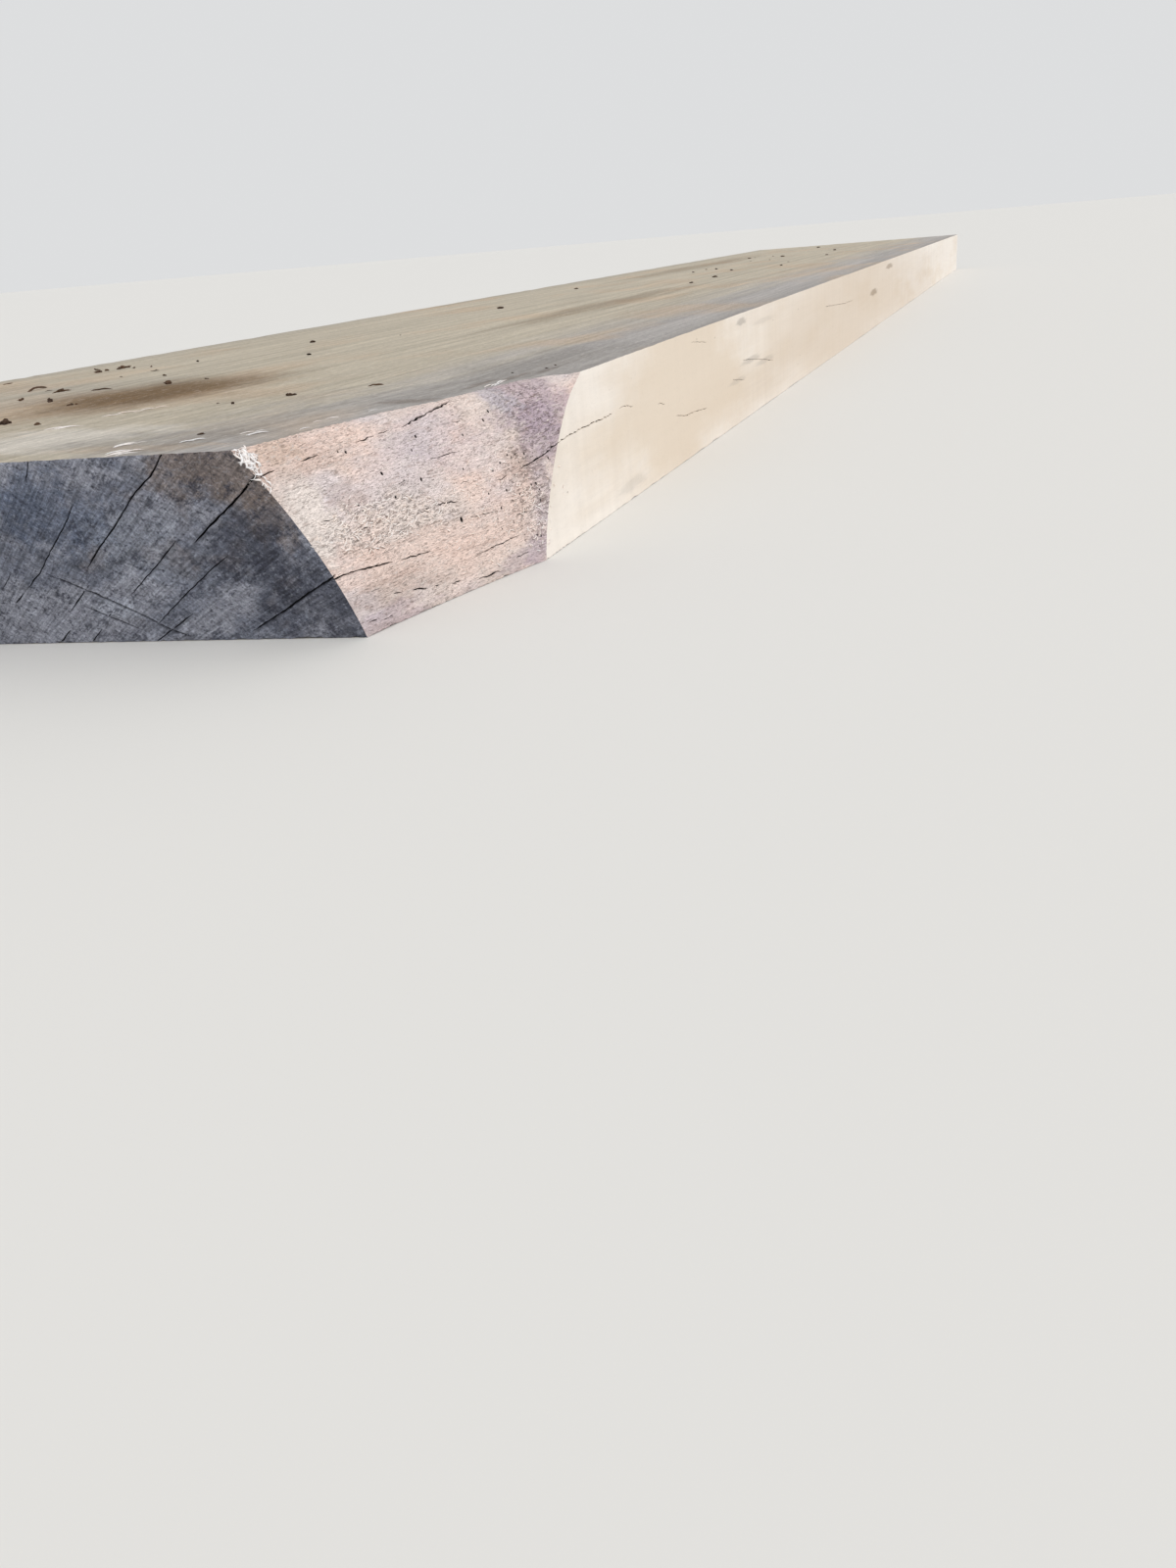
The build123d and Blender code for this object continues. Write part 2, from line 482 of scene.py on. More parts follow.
class Net:
    """The points and edges of one face, gathered before they are joined into triangles."""

    SHUT = 0.05 * MM  # a split with less than this half width has no lips
    SPOKES = np.linspace(0, 2 * math.pi, 9)[:-1]
    OVAL = 1.25  # a hole's girth over its width
    # A ring's darkness is painted shade, laid in the hole's depths.
    PIT = ((1.0, 0.0, 0.0), (0.85, 0.7, 1.0), (0.0, 1.0, 1.0))  # a hole's rings: size, depth and darkness
    ROOM = 0.55  # free space about an inner point, as a share of the step
    KILO = 1000  # the joining works on millimetres
    TOUCH = 1e-6  # millimetres within which it takes points as one

    def __init__(self, ring, gape):
        self.points, self.depths, self.marks = [ring], [gape], [(gape > 0).astype(float)]
        self.edges = [(k, (k + 1) % len(ring)) for k in range(len(ring))]
        self.clear = [(place, 0.0) for place in ring]
        self.ring, self.tree, self.count = ring, tree_of(ring), len(ring)

    def add(self, points, depths, marks):
        """Adds points, and gives the first one's number."""
        self.points.append(points)
        self.depths.append(depths)
        self.marks.append(marks)
        self.count += len(points)
        return self.count - len(points)

    def snap(self, middle, spot, sign):
        """The boundary point that a split's end, or the lip beside it, has to share."""
        if sign == 0:
            return self.tree.find((*spot, 0))[1]
        near = [index for _, index, _ in self.tree.find_n((*middle, 0), 3)][1:]
        return max(near, key=lambda index: float(np.dot(self.ring[index] - middle, spot - middle)))

    def lay_split(self, split, rng):
        """Adds a split's middle line and two lips."""
        middle, aside, half, depth = split.lines(rng)
        last = len(middle) - 1
        self.clear += zip(middle, half)
        rows = []
        for sign in (-1, 0, 1):
            row = []
            for k in range(last + 1):
                spot = middle[k] + sign * aside[k] * half[k]
                if (k == 0 and split.mouths[0]) or (k == last and split.mouths[1]):
                    row.append(self.snap(middle[k], spot, sign))
                elif half[k] < self.SHUT and sign != 0:
                    row.append(None)
                else:
                    gapes = sign == 0 and half[k] >= self.SHUT
                    row.append(self.add(spot[None], np.array([depth[k] * gapes]), np.array([float(gapes)])))
            rows.append(row)
        for row in rows:
            solid = [rows[1][k] if index is None else index for k, index in enumerate(row)]
            self.edges += [(a, b) for a, b in zip(solid, solid[1:]) if a != b]

    def lay_hole(self, centre, width, depth, rng):
        """Adds a beetle hole's rim, wall and bottom."""
        turns = self.SPOKES + rng.uniform(0, 1)
        spokes = np.stack([np.cos(turns) * self.OVAL, np.sin(turns)], 1) * width / 2
        for share, down, mark in self.PIT:
            pit = centre + spokes * share if share else centre[None]
            first = self.add(pit, np.full(len(pit), depth * down), np.full(len(pit), mark))
            self.edges += [(first + k, first + (k + 1) % len(pit)) for k in range(len(pit)) if len(pit) > 1]
        self.clear.append((centre, width / 2))

    def fill(self, inner, steps):
        """Adds the inner points that have room, after all the others."""
        tree = tree_of([place for place, _ in self.clear])
        roomy = []
        for point, step in zip(inner, steps):
            _, index, gap = tree.find((*point, 0))
            roomy.append(gap > self.ROOM * step + self.clear[index][1])
        inner = inner[roomy]
        self.add(inner, np.zeros(len(inner)), np.zeros(len(inner)))
        self.points, self.depths, self.marks = map(np.concatenate, (self.points, self.depths, self.marks))

    def join(self):
        """Triangles over the points: flat places, corners, the point each came from, and the new ones."""
        spots = [Vector(p) for p in self.points * self.KILO]
        ring = [list(range(len(self.ring)))]
        flat, _, faces, origin, _, owners = delaunay_2d_cdt(spots, self.edges, ring, 0, self.TOUCH, True)
        faces = np.array([face for face, owner in zip(faces, owners) if owner])
        flat = np.array([tuple(p) for p in flat]) / self.KILO
        source = np.array([o[0] if o else -1 for o in origin])
        every, new = tree_of(self.points), np.flatnonzero(source < 0)
        source[new] = [every.find((*flat[k], 0))[1] for k in new]
        return flat, faces, source, new


class Patch:
    """One face of the plank: the number of its finish, its surface, its step, its relief and its arrises."""

    FADE = 5 * MM  # how far from its arrises a face's relief dies away
    ROW = 0.866  # distance between staggered rows, as a share of the step
    STRAY = 0.18  # how far a point strays, as a share of the step
    LOOK = 0.8  # place across the face at which the distance to the next row is taken
    TINY = 1e-15  # keeps a level edge from a division by nought

    def __init__(self, number, surface, step, relief, arrises):
        self.flatten, self.place, self.normal = surface.flatten, surface.place, surface.normal
        self.number, self.step, self.relief, self.arrises = number, step, relief, arrises
        self.splits, self.holes = [], []

    def outline(self):
        """The face's boundary as one closed chain of its arrises' points."""
        parts = [(a.points, a.placed, a.gape) for a in self.arrises]
        chain = [parts.pop(0)]
        while parts:
            tail = chain[-1][0][-1]
            ends = [[np.linalg.norm(part[0][k] - tail) for k in (0, -1)] for part in parts]
            best = int(np.argmin([min(gaps) for gaps in ends]))
            found, (head_gap, tail_gap) = parts.pop(best), ends[best]
            if tail_gap < head_gap:
                found = tuple(values[::-1] for values in found)
            chain.append(found)
        return [np.concatenate([part[k][:-1] for part in chain]) for k in range(3)]

    def rows(self, rng, ring):
        """Inner points in staggered rows, closer where the face is seen close, and their steps."""
        low, high = ring.min(0), ring.max(0)
        found, v, odd = [], low[1], False
        while v < high[1]:
            u = low[0] + (0.5 if odd else 0.0) * self.step(low[0], v)
            while u < high[0]:
                found.append((u, v))
                u += self.step(u, v)
            v += self.ROW * self.step(low[0] * (1 - self.LOOK) + high[0] * self.LOOK, v)
            odd = not odd
        found = np.array(found)
        steps = np.array([self.step(u, v) for u, v in found])
        found += rng.uniform(-self.STRAY, self.STRAY, found.shape) * steps[:, None]
        inside = np.zeros(len(found), bool)
        for a, b in zip(ring, np.roll(ring, -1, axis=0)):
            crosses = (a[1] > found[:, 1]) != (b[1] > found[:, 1])
            if crosses.any():
                reach = a[0] + (found[:, 1] - a[1]) / (b[1] - a[1] + self.TINY) * (b[0] - a[0])
                inside ^= crosses & (found[:, 0] < reach)
        return found[inside], steps[inside]

    def mesh(self, rng):
        """The face's points, its triangles, and how deep in a split or hole each point is."""
        base, placed, gape = self.outline()
        net = Net(self.flatten(base), gape)
        for split in self.splits:
            net.lay_split(split, rng)
        for hole in self.holes:
            net.lay_hole(*hole, rng)
        net.fill(*self.rows(rng, net.ring))
        flat, faces, source, new = net.join()
        spots = self.place(flat)
        fade = np.clip(np.array([net.tree.find((*p, 0))[2] for p in flat]) / self.FADE, 0, 1)
        fade = fade * fade * (3 - 2 * fade)
        lift = self.relief(spots) * fade - net.depths[source]
        spots = spots + self.normal(spots) * lift[:, None]
        on_ring = source < len(net.ring)
        on_ring[new] = False
        spots[on_ring] = placed[source[on_ring]]
        a, b, c = (spots[faces[:, k]] for k in range(3))
        facing = (np.cross(b - a, c - a) * self.normal(a)).sum(1)
        if np.median(facing) < 0:
            faces = faces[:, ::-1]
        return spots, faces, net.marks[source]


# The plank's faces

END, WANE, EDGE, FACE = range(4)  # the plank's finishes, by their number


class Sawn:
    """A flat face: two axes are its flat coordinates, and the third follows from them."""

    def __init__(self, axes, third, way):
        self.axes, self.third, self.way = axes, third, way

    def flatten(self, points):
        """Points on the face as flat coordinates."""
        return points[:, self.axes]

    def place(self, flat):
        """Flat coordinates put on the face."""
        points = np.empty((len(flat), 3))
        points[:, self.axes] = flat
        points[:, 3 - sum(self.axes)] = self.third(flat)
        return points

    def normal(self, points):
        """Outward direction, the same all over."""
        return np.tile(self.way, (len(points), 1))


def straight(start, end, step, faces, wear):
    """An arris that is a straight line."""
    shares = np.linspace(0, 1, Side.SHORT)[:, None]
    return Arris(np.array(start) * (1 - shares) + np.array(end) * shares, step, faces, wear)


# Relief of the faces. Each ripple has a height in millimetres and a size along each axis. What is added
# to p only keeps two ripples from being alike.

def wane_relief(p):
    """Swells and pits of the log's skin, roughest where bark has clung."""
    bark_s, fade_s = 0.12, 0.06  # s from which bark has clung, and over how far that sets in
    bark_z, fade_z = 0.08, 0.03  # height up to which it has, and over how far that ends
    rough = np.clip((p[:, 1] - bark_s) / fade_s, 0, 1) * np.clip((bark_z - p[:, 2]) / fade_z, 0, 1)
    swell = 1.3 * ripple(p, (0.05, 0.11, 0.05), 2)
    wave = 0.35 * ripple(p + 3.1, (8 * MM, 20 * MM, 6 * MM), 3)
    pits = np.minimum(0, ripple(p + 7.7, (3.5 * MM, 6 * MM, 3.5 * MM), 2) + 0.25)
    return MM * (swell + wave + (0.25 + 1.25 * rough) * pits)


def end_relief(p):
    """The end's uneven cross cut: scores across it, and soft hollows."""
    score = p[:, 0] * 0.50 + p[:, 2] * 0.87
    bite = 0.5 * ripple(np.stack([score, score * 0, p[:, 0] * 0.12], 1), (5 * MM, 1, 5 * MM), 3)
    hollows, grit = ripple(p, (0.07, 0.07, 0.05), 2), ripple(p, (4 * MM, 4 * MM, 4 * MM), 3)
    return MM * (0.9 * hollows + 0.55 * bite + 0.18 * grit)


def edge_relief(p):
    """The edging saw's bands and slight wander."""
    band = ripple(np.stack([p[:, 1], p[:, 2] * 0.15, p[:, 0]], 1), (13 * MM, 13 * MM, 1), 2)
    return MM * (0.10 * band + 0.45 * ripple(p + 1.7, (0.2, 0.35, 0.2), 2) - 0.3)


def face_relief(p, grain):
    """The slab saw's ridges and lifted grain, kept below the sawn plane."""
    lifted = ripple(grain, (7 * MM, 90 * MM, 0.1), 3)
    return MM * (0.22 * lifted + 0.25 * ripple(p, (0.1, 0.25, 0.1), 2) - 0.45)


def far_relief(p):
    """The far end's plain cross cut."""
    hollows, grit = ripple(p, (0.06, 0.06, 0.04), 2), ripple(p, (6 * MM, 6 * MM, 6 * MM), 2)
    return MM * (0.4 * hollows + 0.2 * grit - 0.5)


# Distances between the skin's points, close where the plank is seen close
NEAR = 0.25  # s up to which they stay close
END_NEAR, TOP_NEAR = 0.02, 0.16  # x down to which they do, on the end and on the upper face
LEFTWARD = 0.012  # how fast they grow to the left of that


def growing(close, far, growth=0.045):
    """A step that is close near the waney end and grows along the plank."""
    return lambda s: min(far, close + max(0.0, s - NEAR) * growth)


def end_step(place):
    """A step on the end that is closer towards the right, where the end is seen."""
    return 2.3 * MM + max(0.0, END_NEAR - place[0]) * LEFTWARD


def top_step(x, s):
    """A step on the upper face that is closer by the right arris and near the waney end."""
    return growing(3.6 * MM + max(0.0, TOP_NEAR - x) * LEFTWARD, 0.045, 0.035)(s)


def under_step(x, s):
    """A wide step on the underside, which isn't seen."""
    return growing(6 * MM, 0.04)(s) * UNDER_SPREAD


# How much wider the points lie inside a face than on its arrises
RIGHT_SPREAD, LEFT_SPREAD, UNDER_SPREAD = 1.3, 1.2, 1.6
RIGHT_STEP, LEFT_STEP = growing(1.7 * MM, 0.03), growing(4.5 * MM, 0.035)
WANE_STEP, LEFT_WANE_STEP, POST_STEP, FAR_STEP, FAR_ARRIS_STEP = 1.5 * MM, 3.2 * MM, 8 * MM, 7 * MM, 12 * MM


class Side:
    """One side of the plank: its wane, its sawn edge and the arrises about them."""

    SHORT, LONG = 400, 600  # places that an arris is first drawn with
    CREASE_WEAR = 0.2 * MM

    def __init__(self, cuts, log, wane, step, wear):
        end_cut, far_cut, top, base = cuts
        x = wane.side * HALF_WIDTH
        self.wane, self.edge = wane, Sawn((2, 1), lambda flat: x, (float(wane.side), 0.0, 0.0))
        self.step, self.rims, self.runs = step, [], []
        end, crease = self.meet(log.past_end), self.meet(self.past_edge)
        crease[:, 0] = x
        sides = ((0, base, 0.0, wane.foot_angle), (-1, top, THICKNESS, wane.rim_angle))
        for k, face, height, angle_at in sides:
            end[k, 2] = crease[k, 2] = height
            run = np.linspace(end[k, 1], crease[k, 1], self.LONG)
            rim = wane.place(np.stack([angle_at(run) * wane.ARM, run], 1))
            rim[:, 2] = height
            rim[0], rim[-1] = end[k], crease[k]
            self.rims.append(Arris(rim, self.local, (face, wane), wear))
            far_corner = (x, log.length, height)
            self.runs.append(straight(crease[k], far_corner, self.local, (face, self.edge), wear))
        foot, head = (x, log.length, 0), (x, log.length, THICKNESS)
        self.post = straight(foot, head, lambda place: POST_STEP, (far_cut, self.edge), wear)
        self.end = Arris(end, self.local, (end_cut, wane), wear)
        self.crease = Arris(crease, self.local, (self.edge, wane), self.CREASE_WEAR)
        self.arrises = [self.end, self.crease, *self.rims, *self.runs, self.post]

    def local(self, place):
        """Distance between points at a place."""
        return self.step(place[1])

    def past_edge(self, places):
        """How far places lie past the edging cut."""
        return self.wane.side * places[:, 0] - HALF_WIDTH

    def meet(self, past):
        """Where the skin meets a cut, from its foot up to its rim."""
        foot, rim = (self.wane.corner_angle(at, past) for at in (self.wane.foot_angle, self.wane.rim_angle))
        return self.wane.meet(np.linspace(foot, rim, self.SHORT), past)

    def patches(self, wane_step, spread):
        """The wane and the sawn edge, whose points lie wider apart than its arrises' by a factor."""
        about = [self.end, self.rims[0], self.crease, self.rims[1]]
        wane = Patch(WANE, self.wane, lambda u, v: wane_step, wane_relief, about)
        about = [self.crease, self.runs[0], self.post, self.runs[1]]
        return wane, Patch(EDGE, self.edge, lambda u, v: self.step(v) * spread, edge_relief, about)


def faces_of(log, shape):
    """Every face of the plank with its splits and holes, in the frame where s = 0 is the waney corner."""
    wear = shape.arris_wear
    end_cut = Sawn((0, 2), lambda flat: log.end_s(flat[:, 0], flat[:, 1]), log.end_way())
    far_cut = Sawn((0, 2), lambda flat: log.length, (0.0, 1.0, 0.0))
    top = Sawn((0, 1), lambda flat: THICKNESS, (0.0, 0.0, 1.0))
    base = Sawn((0, 1), lambda flat: 0.0, (0.0, 0.0, -1.0))
    cuts = (end_cut, far_cut, top, base)
    right = Side(cuts, log, Wane(log, 1, RIGHT_FALLS, RIGHT_BULGE), RIGHT_STEP, wear)
    left = Side(cuts, log, Wane(log, -1, LEFT_FALLS, LEFT_BULGE), LEFT_STEP, wear)
    ends, fars = [], []
    for k, face, height in ((0, base, 0), (-1, top, THICKNESS)):
        ends.append(straight(left.end.dense[k], right.end.dense[k], end_step, (end_cut, face), wear))
        corners = [(x, log.length, height) for x in (-HALF_WIDTH, HALF_WIDTH)]
        fars.append(straight(*corners, lambda place: FAR_ARRIS_STEP, (far_cut, face), wear))
    under, upper = (
        Patch(FACE, face, step, lambda p: face_relief(p, log.fibre(p)),
              [ends[k], right.rims[k], right.runs[k], fars[k], left.runs[k], left.rims[k]])
        for k, face, step in ((0, base, under_step), (1, top, top_step)))
    wane, edge = right.patches(WANE_STEP, RIGHT_SPREAD)
    left_wane, left_edge = left.patches(LEFT_WANE_STEP, LEFT_SPREAD)
    about = [ends[0], right.end, ends[1], left.end]
    end = Patch(END, end_cut, lambda x, z: end_step((x,)), end_relief, about)
    about = [fars[0], right.post, fars[1], left.post]
    far = Patch(END, far_cut, lambda x, z: FAR_STEP, far_relief, about)
    named = {"wane": right.end, "end": right.end, "crease": right.crease, "rim": ends[1], "foot": ends[0]}
    cut_splits(end, wane, edge, named)
    bore_holes(wane, shape.seed)
    arrises = [*ends, *fars, *right.arrises, *left.arrises]
    for arris in arrises:
        arris.sample()
    share_corners(arrises)
    return [end, wane, edge, upper, under, left_wane, left_edge, far]


def share_corners(arrises):
    """Brings the arrises that meet at a corner to one worn point."""
    touch = 1e-5  # metres within which two tips are at one corner
    tips = [(arris, k) for arris in arrises for k in (0, -1)]
    for arris, k in tips:
        met = [(other, j) for other, j in tips if np.linalg.norm(other.points[j] - arris.points[k]) < touch]
        meeting = np.mean([other.placed[j] for other, j in met], axis=0)
        base = arris.points[k].copy()
        for other, j in met:
            other.placed[j], other.points[j] = meeting, base


def cut_splits(end, wane, edge, arrises):
    """Cuts the splits into their faces, and opens the arrises that they run over."""
    drawn = (
        (end, END_SPLITS, END_RAGGED, lambda line: line),
        (wane, WANE_SPLITS, RAGGED, lambda line: girth_line(wane, line[:, ::-1])),
        (edge, EDGE_SPLITS, RAGGED, lambda line: line[:, ::-1]),
    )
    for face, splits, ragged, flat in drawn:
        for points, width, depth, *names in splits:
            line, names = flat(np.array(points, float) * MM), (*names, None, None)[:2]
            for k, name in zip((0, -1), names):
                if name:
                    spot = face.place(line[k][None])[0]
                    spot = arrises[name].open_at(spot, width * MM / 2, depth * MOUTH_DEPTH * MM)
                    line[k] = face.flatten(spot[None])[0]
            face.splits.append(Split(line, width * MM, depth * MM, ragged, names))


def bore_holes(wane, seed):
    """Bores the beetle holes and pits where the splits, the arrises and other holes leave room."""
    rng = np.random.default_rng(seed)
    s_low, s_high, z_low, z_high = PITTED
    pits = rng.uniform(s_low, s_high, PITS), rng.uniform(z_low, z_high, PITS), rng.uniform(*PIT_WIDTHS, PITS)
    shares = np.linspace(0, 1, SPLIT_LOOKS)
    taken = [point for split in wane.splits for point in along(split.line, shares)[0]]
    rims = np.concatenate([wane.flatten(arris.dense) for arris in wane.arrises])
    for s, z, width in (*BORE_HOLES, *zip(*pits)):
        centre = girth_line(wane, np.array([(z, s)]) * MM)[0]
        clear = np.linalg.norm(np.array(taken) - centre, axis=1).min() > HOLE_APART
        if clear and np.linalg.norm(rims - centre, axis=1).min() > RIM_APART:
            wane.holes.append((centre, width * MM, HOLE_DEPTH))
            taken.append(centre)


def girth_line(wane, line):
    """A line on the wane, given as (z, s), in the wane's flat coordinates."""
    low, high = np.zeros(len(line)), np.full(len(line), Wane.LAST_ANGLE * Wane.ARM)
    for _ in range(Wane.GIRTH_HALVINGS):
        middle = (low + high) / 2
        above = wane.place(np.stack([middle, line[:, 1]], 1))[:, 2] > line[:, 0]
        low, high = np.where(above, low, middle), np.where(above, middle, high)
    return np.stack([low, line[:, 1]], 1)


SHARPEST = math.radians(50)  # a sharper edge isn't shaded softly
WELD = 2e-6  # points nearer than this become one


def smooth_over(edge):
    """Whether two faces meet softly at an edge, as parts of one finish."""
    if len(edge.link_faces) != 2:
        return False
    one, other = edge.link_faces
    turn = one.normal.angle(other.normal, 0)
    return turn < SHARPEST and one.material_index == other.material_index


def plank_mesh(shape):
    """The plank's closed skin as a mesh, with its wood frame and splits as attributes."""
    log = Log(shape)
    rng = np.random.default_rng(shape.seed + 1)
    spots, triangles, marks, numbers, count = [], [], [], [], 0
    for patch in faces_of(log, shape):
        places, corners, mark = patch.mesh(rng)
        spots.append(places)
        triangles.append(corners + count)
        marks.append(mark)
        numbers += [patch.number] * len(corners)
        count += len(places)
    spots = np.concatenate(spots)
    mesh = bpy.data.meshes.new("plank_skin")
    shifted = spots + np.array((0, FAR_Y - log.length, 0))
    mesh.from_pydata(shifted.tolist(), [], np.concatenate(triangles).tolist())
    mesh.polygons.foreach_set("material_index", numbers)
    mesh.polygons.foreach_set("use_smooth", [True] * len(numbers))
    mesh.attributes.new("fibre", "FLOAT_VECTOR", "POINT").data.foreach_set("vector", log.fibre(spots).ravel())
    mesh.attributes.new("split", "FLOAT", "POINT").data.foreach_set("value", np.concatenate(marks))
    skin = bmesh.new()
    skin.from_mesh(mesh)
    bmesh.ops.remove_doubles(skin, verts=skin.verts, dist=WELD)
    for edge in skin.edges:
        edge.smooth = smooth_over(edge)
    open_edges = sum(len(edge.link_faces) != 2 for edge in skin.edges)
    skin.to_mesh(mesh)
    skin.free()
    print("plank skin", len(mesh.polygons), "triangles,", open_edges, "open edges")
    return mesh


# Finishes

def colour(value):
    """A colour setting as a socket takes it."""
    return value if isinstance(value, bpy.types.NodeSocket) else (*value[:3], 1.0)


class Recipe:
    """A node tree as it is written: each step adds a node and gives the socket that holds its result."""

    def __init__(self, tree):
        self.tree = tree

    def put(self, kind, inputs=None, **settings):
        """Adds a node, with its settings, and fills or links its inputs."""
        node = self.tree.nodes.new(kind)
        for name, value in settings.items():
            setattr(node, name, value)
        for socket, value in (inputs or {}).items():
            if isinstance(value, bpy.types.NodeSocket):
                self.tree.links.new(value, node.inputs[socket])
            else:
                node.inputs[socket].default_value = value
        return node

    def get(self, kind, inputs=None, **settings):
        """Adds a node and gives its first output."""
        return self.put(kind, inputs, **settings).outputs[0]

    def use(self, name, **inputs):
        """Places one of the shader node groups and gives its outputs."""
        return self.put("ShaderNodeGroup", inputs, node_tree=shader_group(name)).outputs

    def sum(self, kind, *values):
        """One step of arithmetic."""
        return self.get("ShaderNodeMath", dict(enumerate(values)), operation=kind)

    def times(self, value, factor):
        """A value multiplied."""
        return self.sum("MULTIPLY", value, factor)

    def vector(self, kind, *values, **named):
        """One step of arithmetic on places; a length or a dot product gives a number."""
        node = self.put("ShaderNodeVectorMath", {**dict(enumerate(values)), **named}, operation=kind)
        return node.outputs["Value" if kind in ("LENGTH", "DOT_PRODUCT") else "Vector"]

    def xyz(self, **parts):
        """A place from its parts X, Y and Z."""
        return self.get("ShaderNodeCombineXYZ", parts)

    def stored(self, name, output="Fac"):
        """A value that the mesh keeps for each point."""
        return self.put("ShaderNodeAttribute", attribute_name=name).outputs[output]

    def wood_place(self):
        """Where the shaded point is in the wood's own frame."""
        return self.stored("fibre", "Vector")

    def object_place(self):
        """Where the shaded point is on the plank."""
        return self.put("ShaderNodeTexCoord").outputs["Object"]

    def away(self, place, asked):
        """A place as seen from the middle of a region, in shares of its reach."""
        return self.vector("DIVIDE", self.vector("SUBTRACT", place, asked["Centre"]), asked["Reach"])

    def noise(self, place, detail=2.0, output="Fac", **inputs):
        """Noise over a place."""
        sockets = {"Vector": place, "Scale": 1.0, "Detail": detail, **inputs}
        return self.put("ShaderNodeTexNoise", sockets).outputs[output]

    def cloud(self, place, size, detail=3.0, rough=0.55, shift=0.0, warp=0.0):
        """Soft noise, about 0.5, whose blots have a size along each axis."""
        place = self.vector("DIVIDE", place, size)
        if shift:
            place = self.vector("ADD", place, (shift, shift * 2.3, shift * 3.7))
        return self.noise(place, detail, Roughness=rough, Distortion=warp)

    def rise(self, value, low, high, top=1.0):
        """0 at one value and top at another, smooth between."""
        sockets = {"Value": value, "From Min": low, "From Max": high, "To Max": top}
        return self.get("ShaderNodeMapRange", sockets, interpolation_type="SMOOTHSTEP")

    def blend(self, share, under, over, how="MIX"):
        """One colour over another."""
        sockets = {0: share, 6: colour(under), 7: colour(over)}
        return self.put("ShaderNodeMix", sockets, data_type="RGBA", blend_type=how).outputs[2]

    def shade(self, under, value):
        """A colour made darker or lighter by a value."""
        grey = self.get("ShaderNodeCombineColor", dict.fromkeys(range(3), value))
        return self.blend(1.0, under, grey, "MULTIPLY")

    def layers(self, tone, *covers):
        """A colour with more laid over it, each by its own mask and share."""
        for mask, share, over in covers:
            tone = self.blend(self.times(mask, share), tone, over)
        return tone

    def worked(self, tone, *marks):
        """A colour made darker and lighter about its own value, by each noise as far as its spread."""
        for mark, spread in marks:
            tone = self.shade(tone, self.sum("ADD", self.rise(mark, 0.25, 0.75, spread), 1 - spread / 2))
        return tone

    def random(self, low, high, seed, turn):
        """A number drawn for each point or bit."""
        drawn = self.sum("ADD", self.times(seed, 10.0), float(turn))
        return self.put("FunctionNodeRandomValue", {2: low, 3: high, "Seed": drawn}).outputs[1]


def stain(recipe, asked):
    """A ragged blot about a centre."""
    away = recipe.away(recipe.object_place(), asked)
    far = recipe.vector("LENGTH", away)
    torn = recipe.sum("SUBTRACT", recipe.cloud(away, (0.5, 0.5, 0.5), 4.0, 0.6), 0.5)
    return [recipe.rise(recipe.sum("ADD", far, recipe.times(torn, asked["Ragged"])), 1.15, 0.45)]


def beech_grain(recipe, asked):
    """Fibres and streaks along the grain, in the wood's own frame."""
    wood = recipe.wood_place()
    sway = recipe.cloud(wood, (0.05, 0.20, 0.05), 2.0)
    bent = recipe.vector("ADD", wood, recipe.xyz(X=recipe.times(sway, 0.012)))
    fibres = recipe.cloud(bent, (0.0006, 0.009, 0.0006), 4.0, 0.62, 1.0, 0.4)
    return [fibres, recipe.cloud(bent, (0.0035, 0.16, 0.0035), 5.0, 0.62, 4.0)]


def specks(recipe, asked):
    """Small sharp marks, dark and pale, of any length and breadth."""
    marks = recipe.cloud(asked["Place"], asked["Size"], 3.0, 0.7, 6.0, 0.3)
    return [recipe.rise(marks, 0.44, 0.33), recipe.rise(marks, 0.56, 0.68)]


def saw_marks(recipe, asked):
    """Marks of a saw: lines across a direction, close or wide."""
    place = recipe.object_place()
    across, down = (recipe.vector("DOT_PRODUCT", place, asked[way]) for way in ("Across", "Along"))
    sides = recipe.sum("DIVIDE", across, asked["Spacing"]), recipe.sum("DIVIDE", down, asked["Length"])
    return [recipe.noise(recipe.xyz(X=sides[0], Y=sides[1]), 2.5, Roughness=0.6, Distortion=0.1)]


def split_depths(recipe, asked):
    """Depths of the splits and holes, which are painted dark: a mask of painted shade."""
    return [recipe.rise(recipe.stored("split"), 0.12, 0.55)]


def end_rays(recipe, asked):
    """End grain about the heart: fine lines out from it, lines round it, and dark blots."""
    from_heart = recipe.vector("SUBTRACT", recipe.object_place(), asked["Heart"])
    x, y, z = recipe.put("ShaderNodeSeparateXYZ", {0: from_heart}).outputs
    arm = 0.36  # metres of girth for each radian
    reach = recipe.sum("SQRT", recipe.sum("ADD", recipe.times(x, x), recipe.times(z, z)))
    girth = recipe.times(recipe.sum("ARCTAN2", z, x), arm)
    turned = recipe.xyz(X=reach, Y=girth, Z=y)
    rays = recipe.cloud(turned, (0.020, 0.0013, 0.1), 4.0, 0.65, 1.0)
    rounds = recipe.cloud(turned, (0.0015, 0.013, 0.1), 4.0, 0.65, 5.0)
    return [rays, rounds, recipe.cloud(turned, (0.0065, 0.0042, 0.1), 6.0, 0.72, 8.0)]


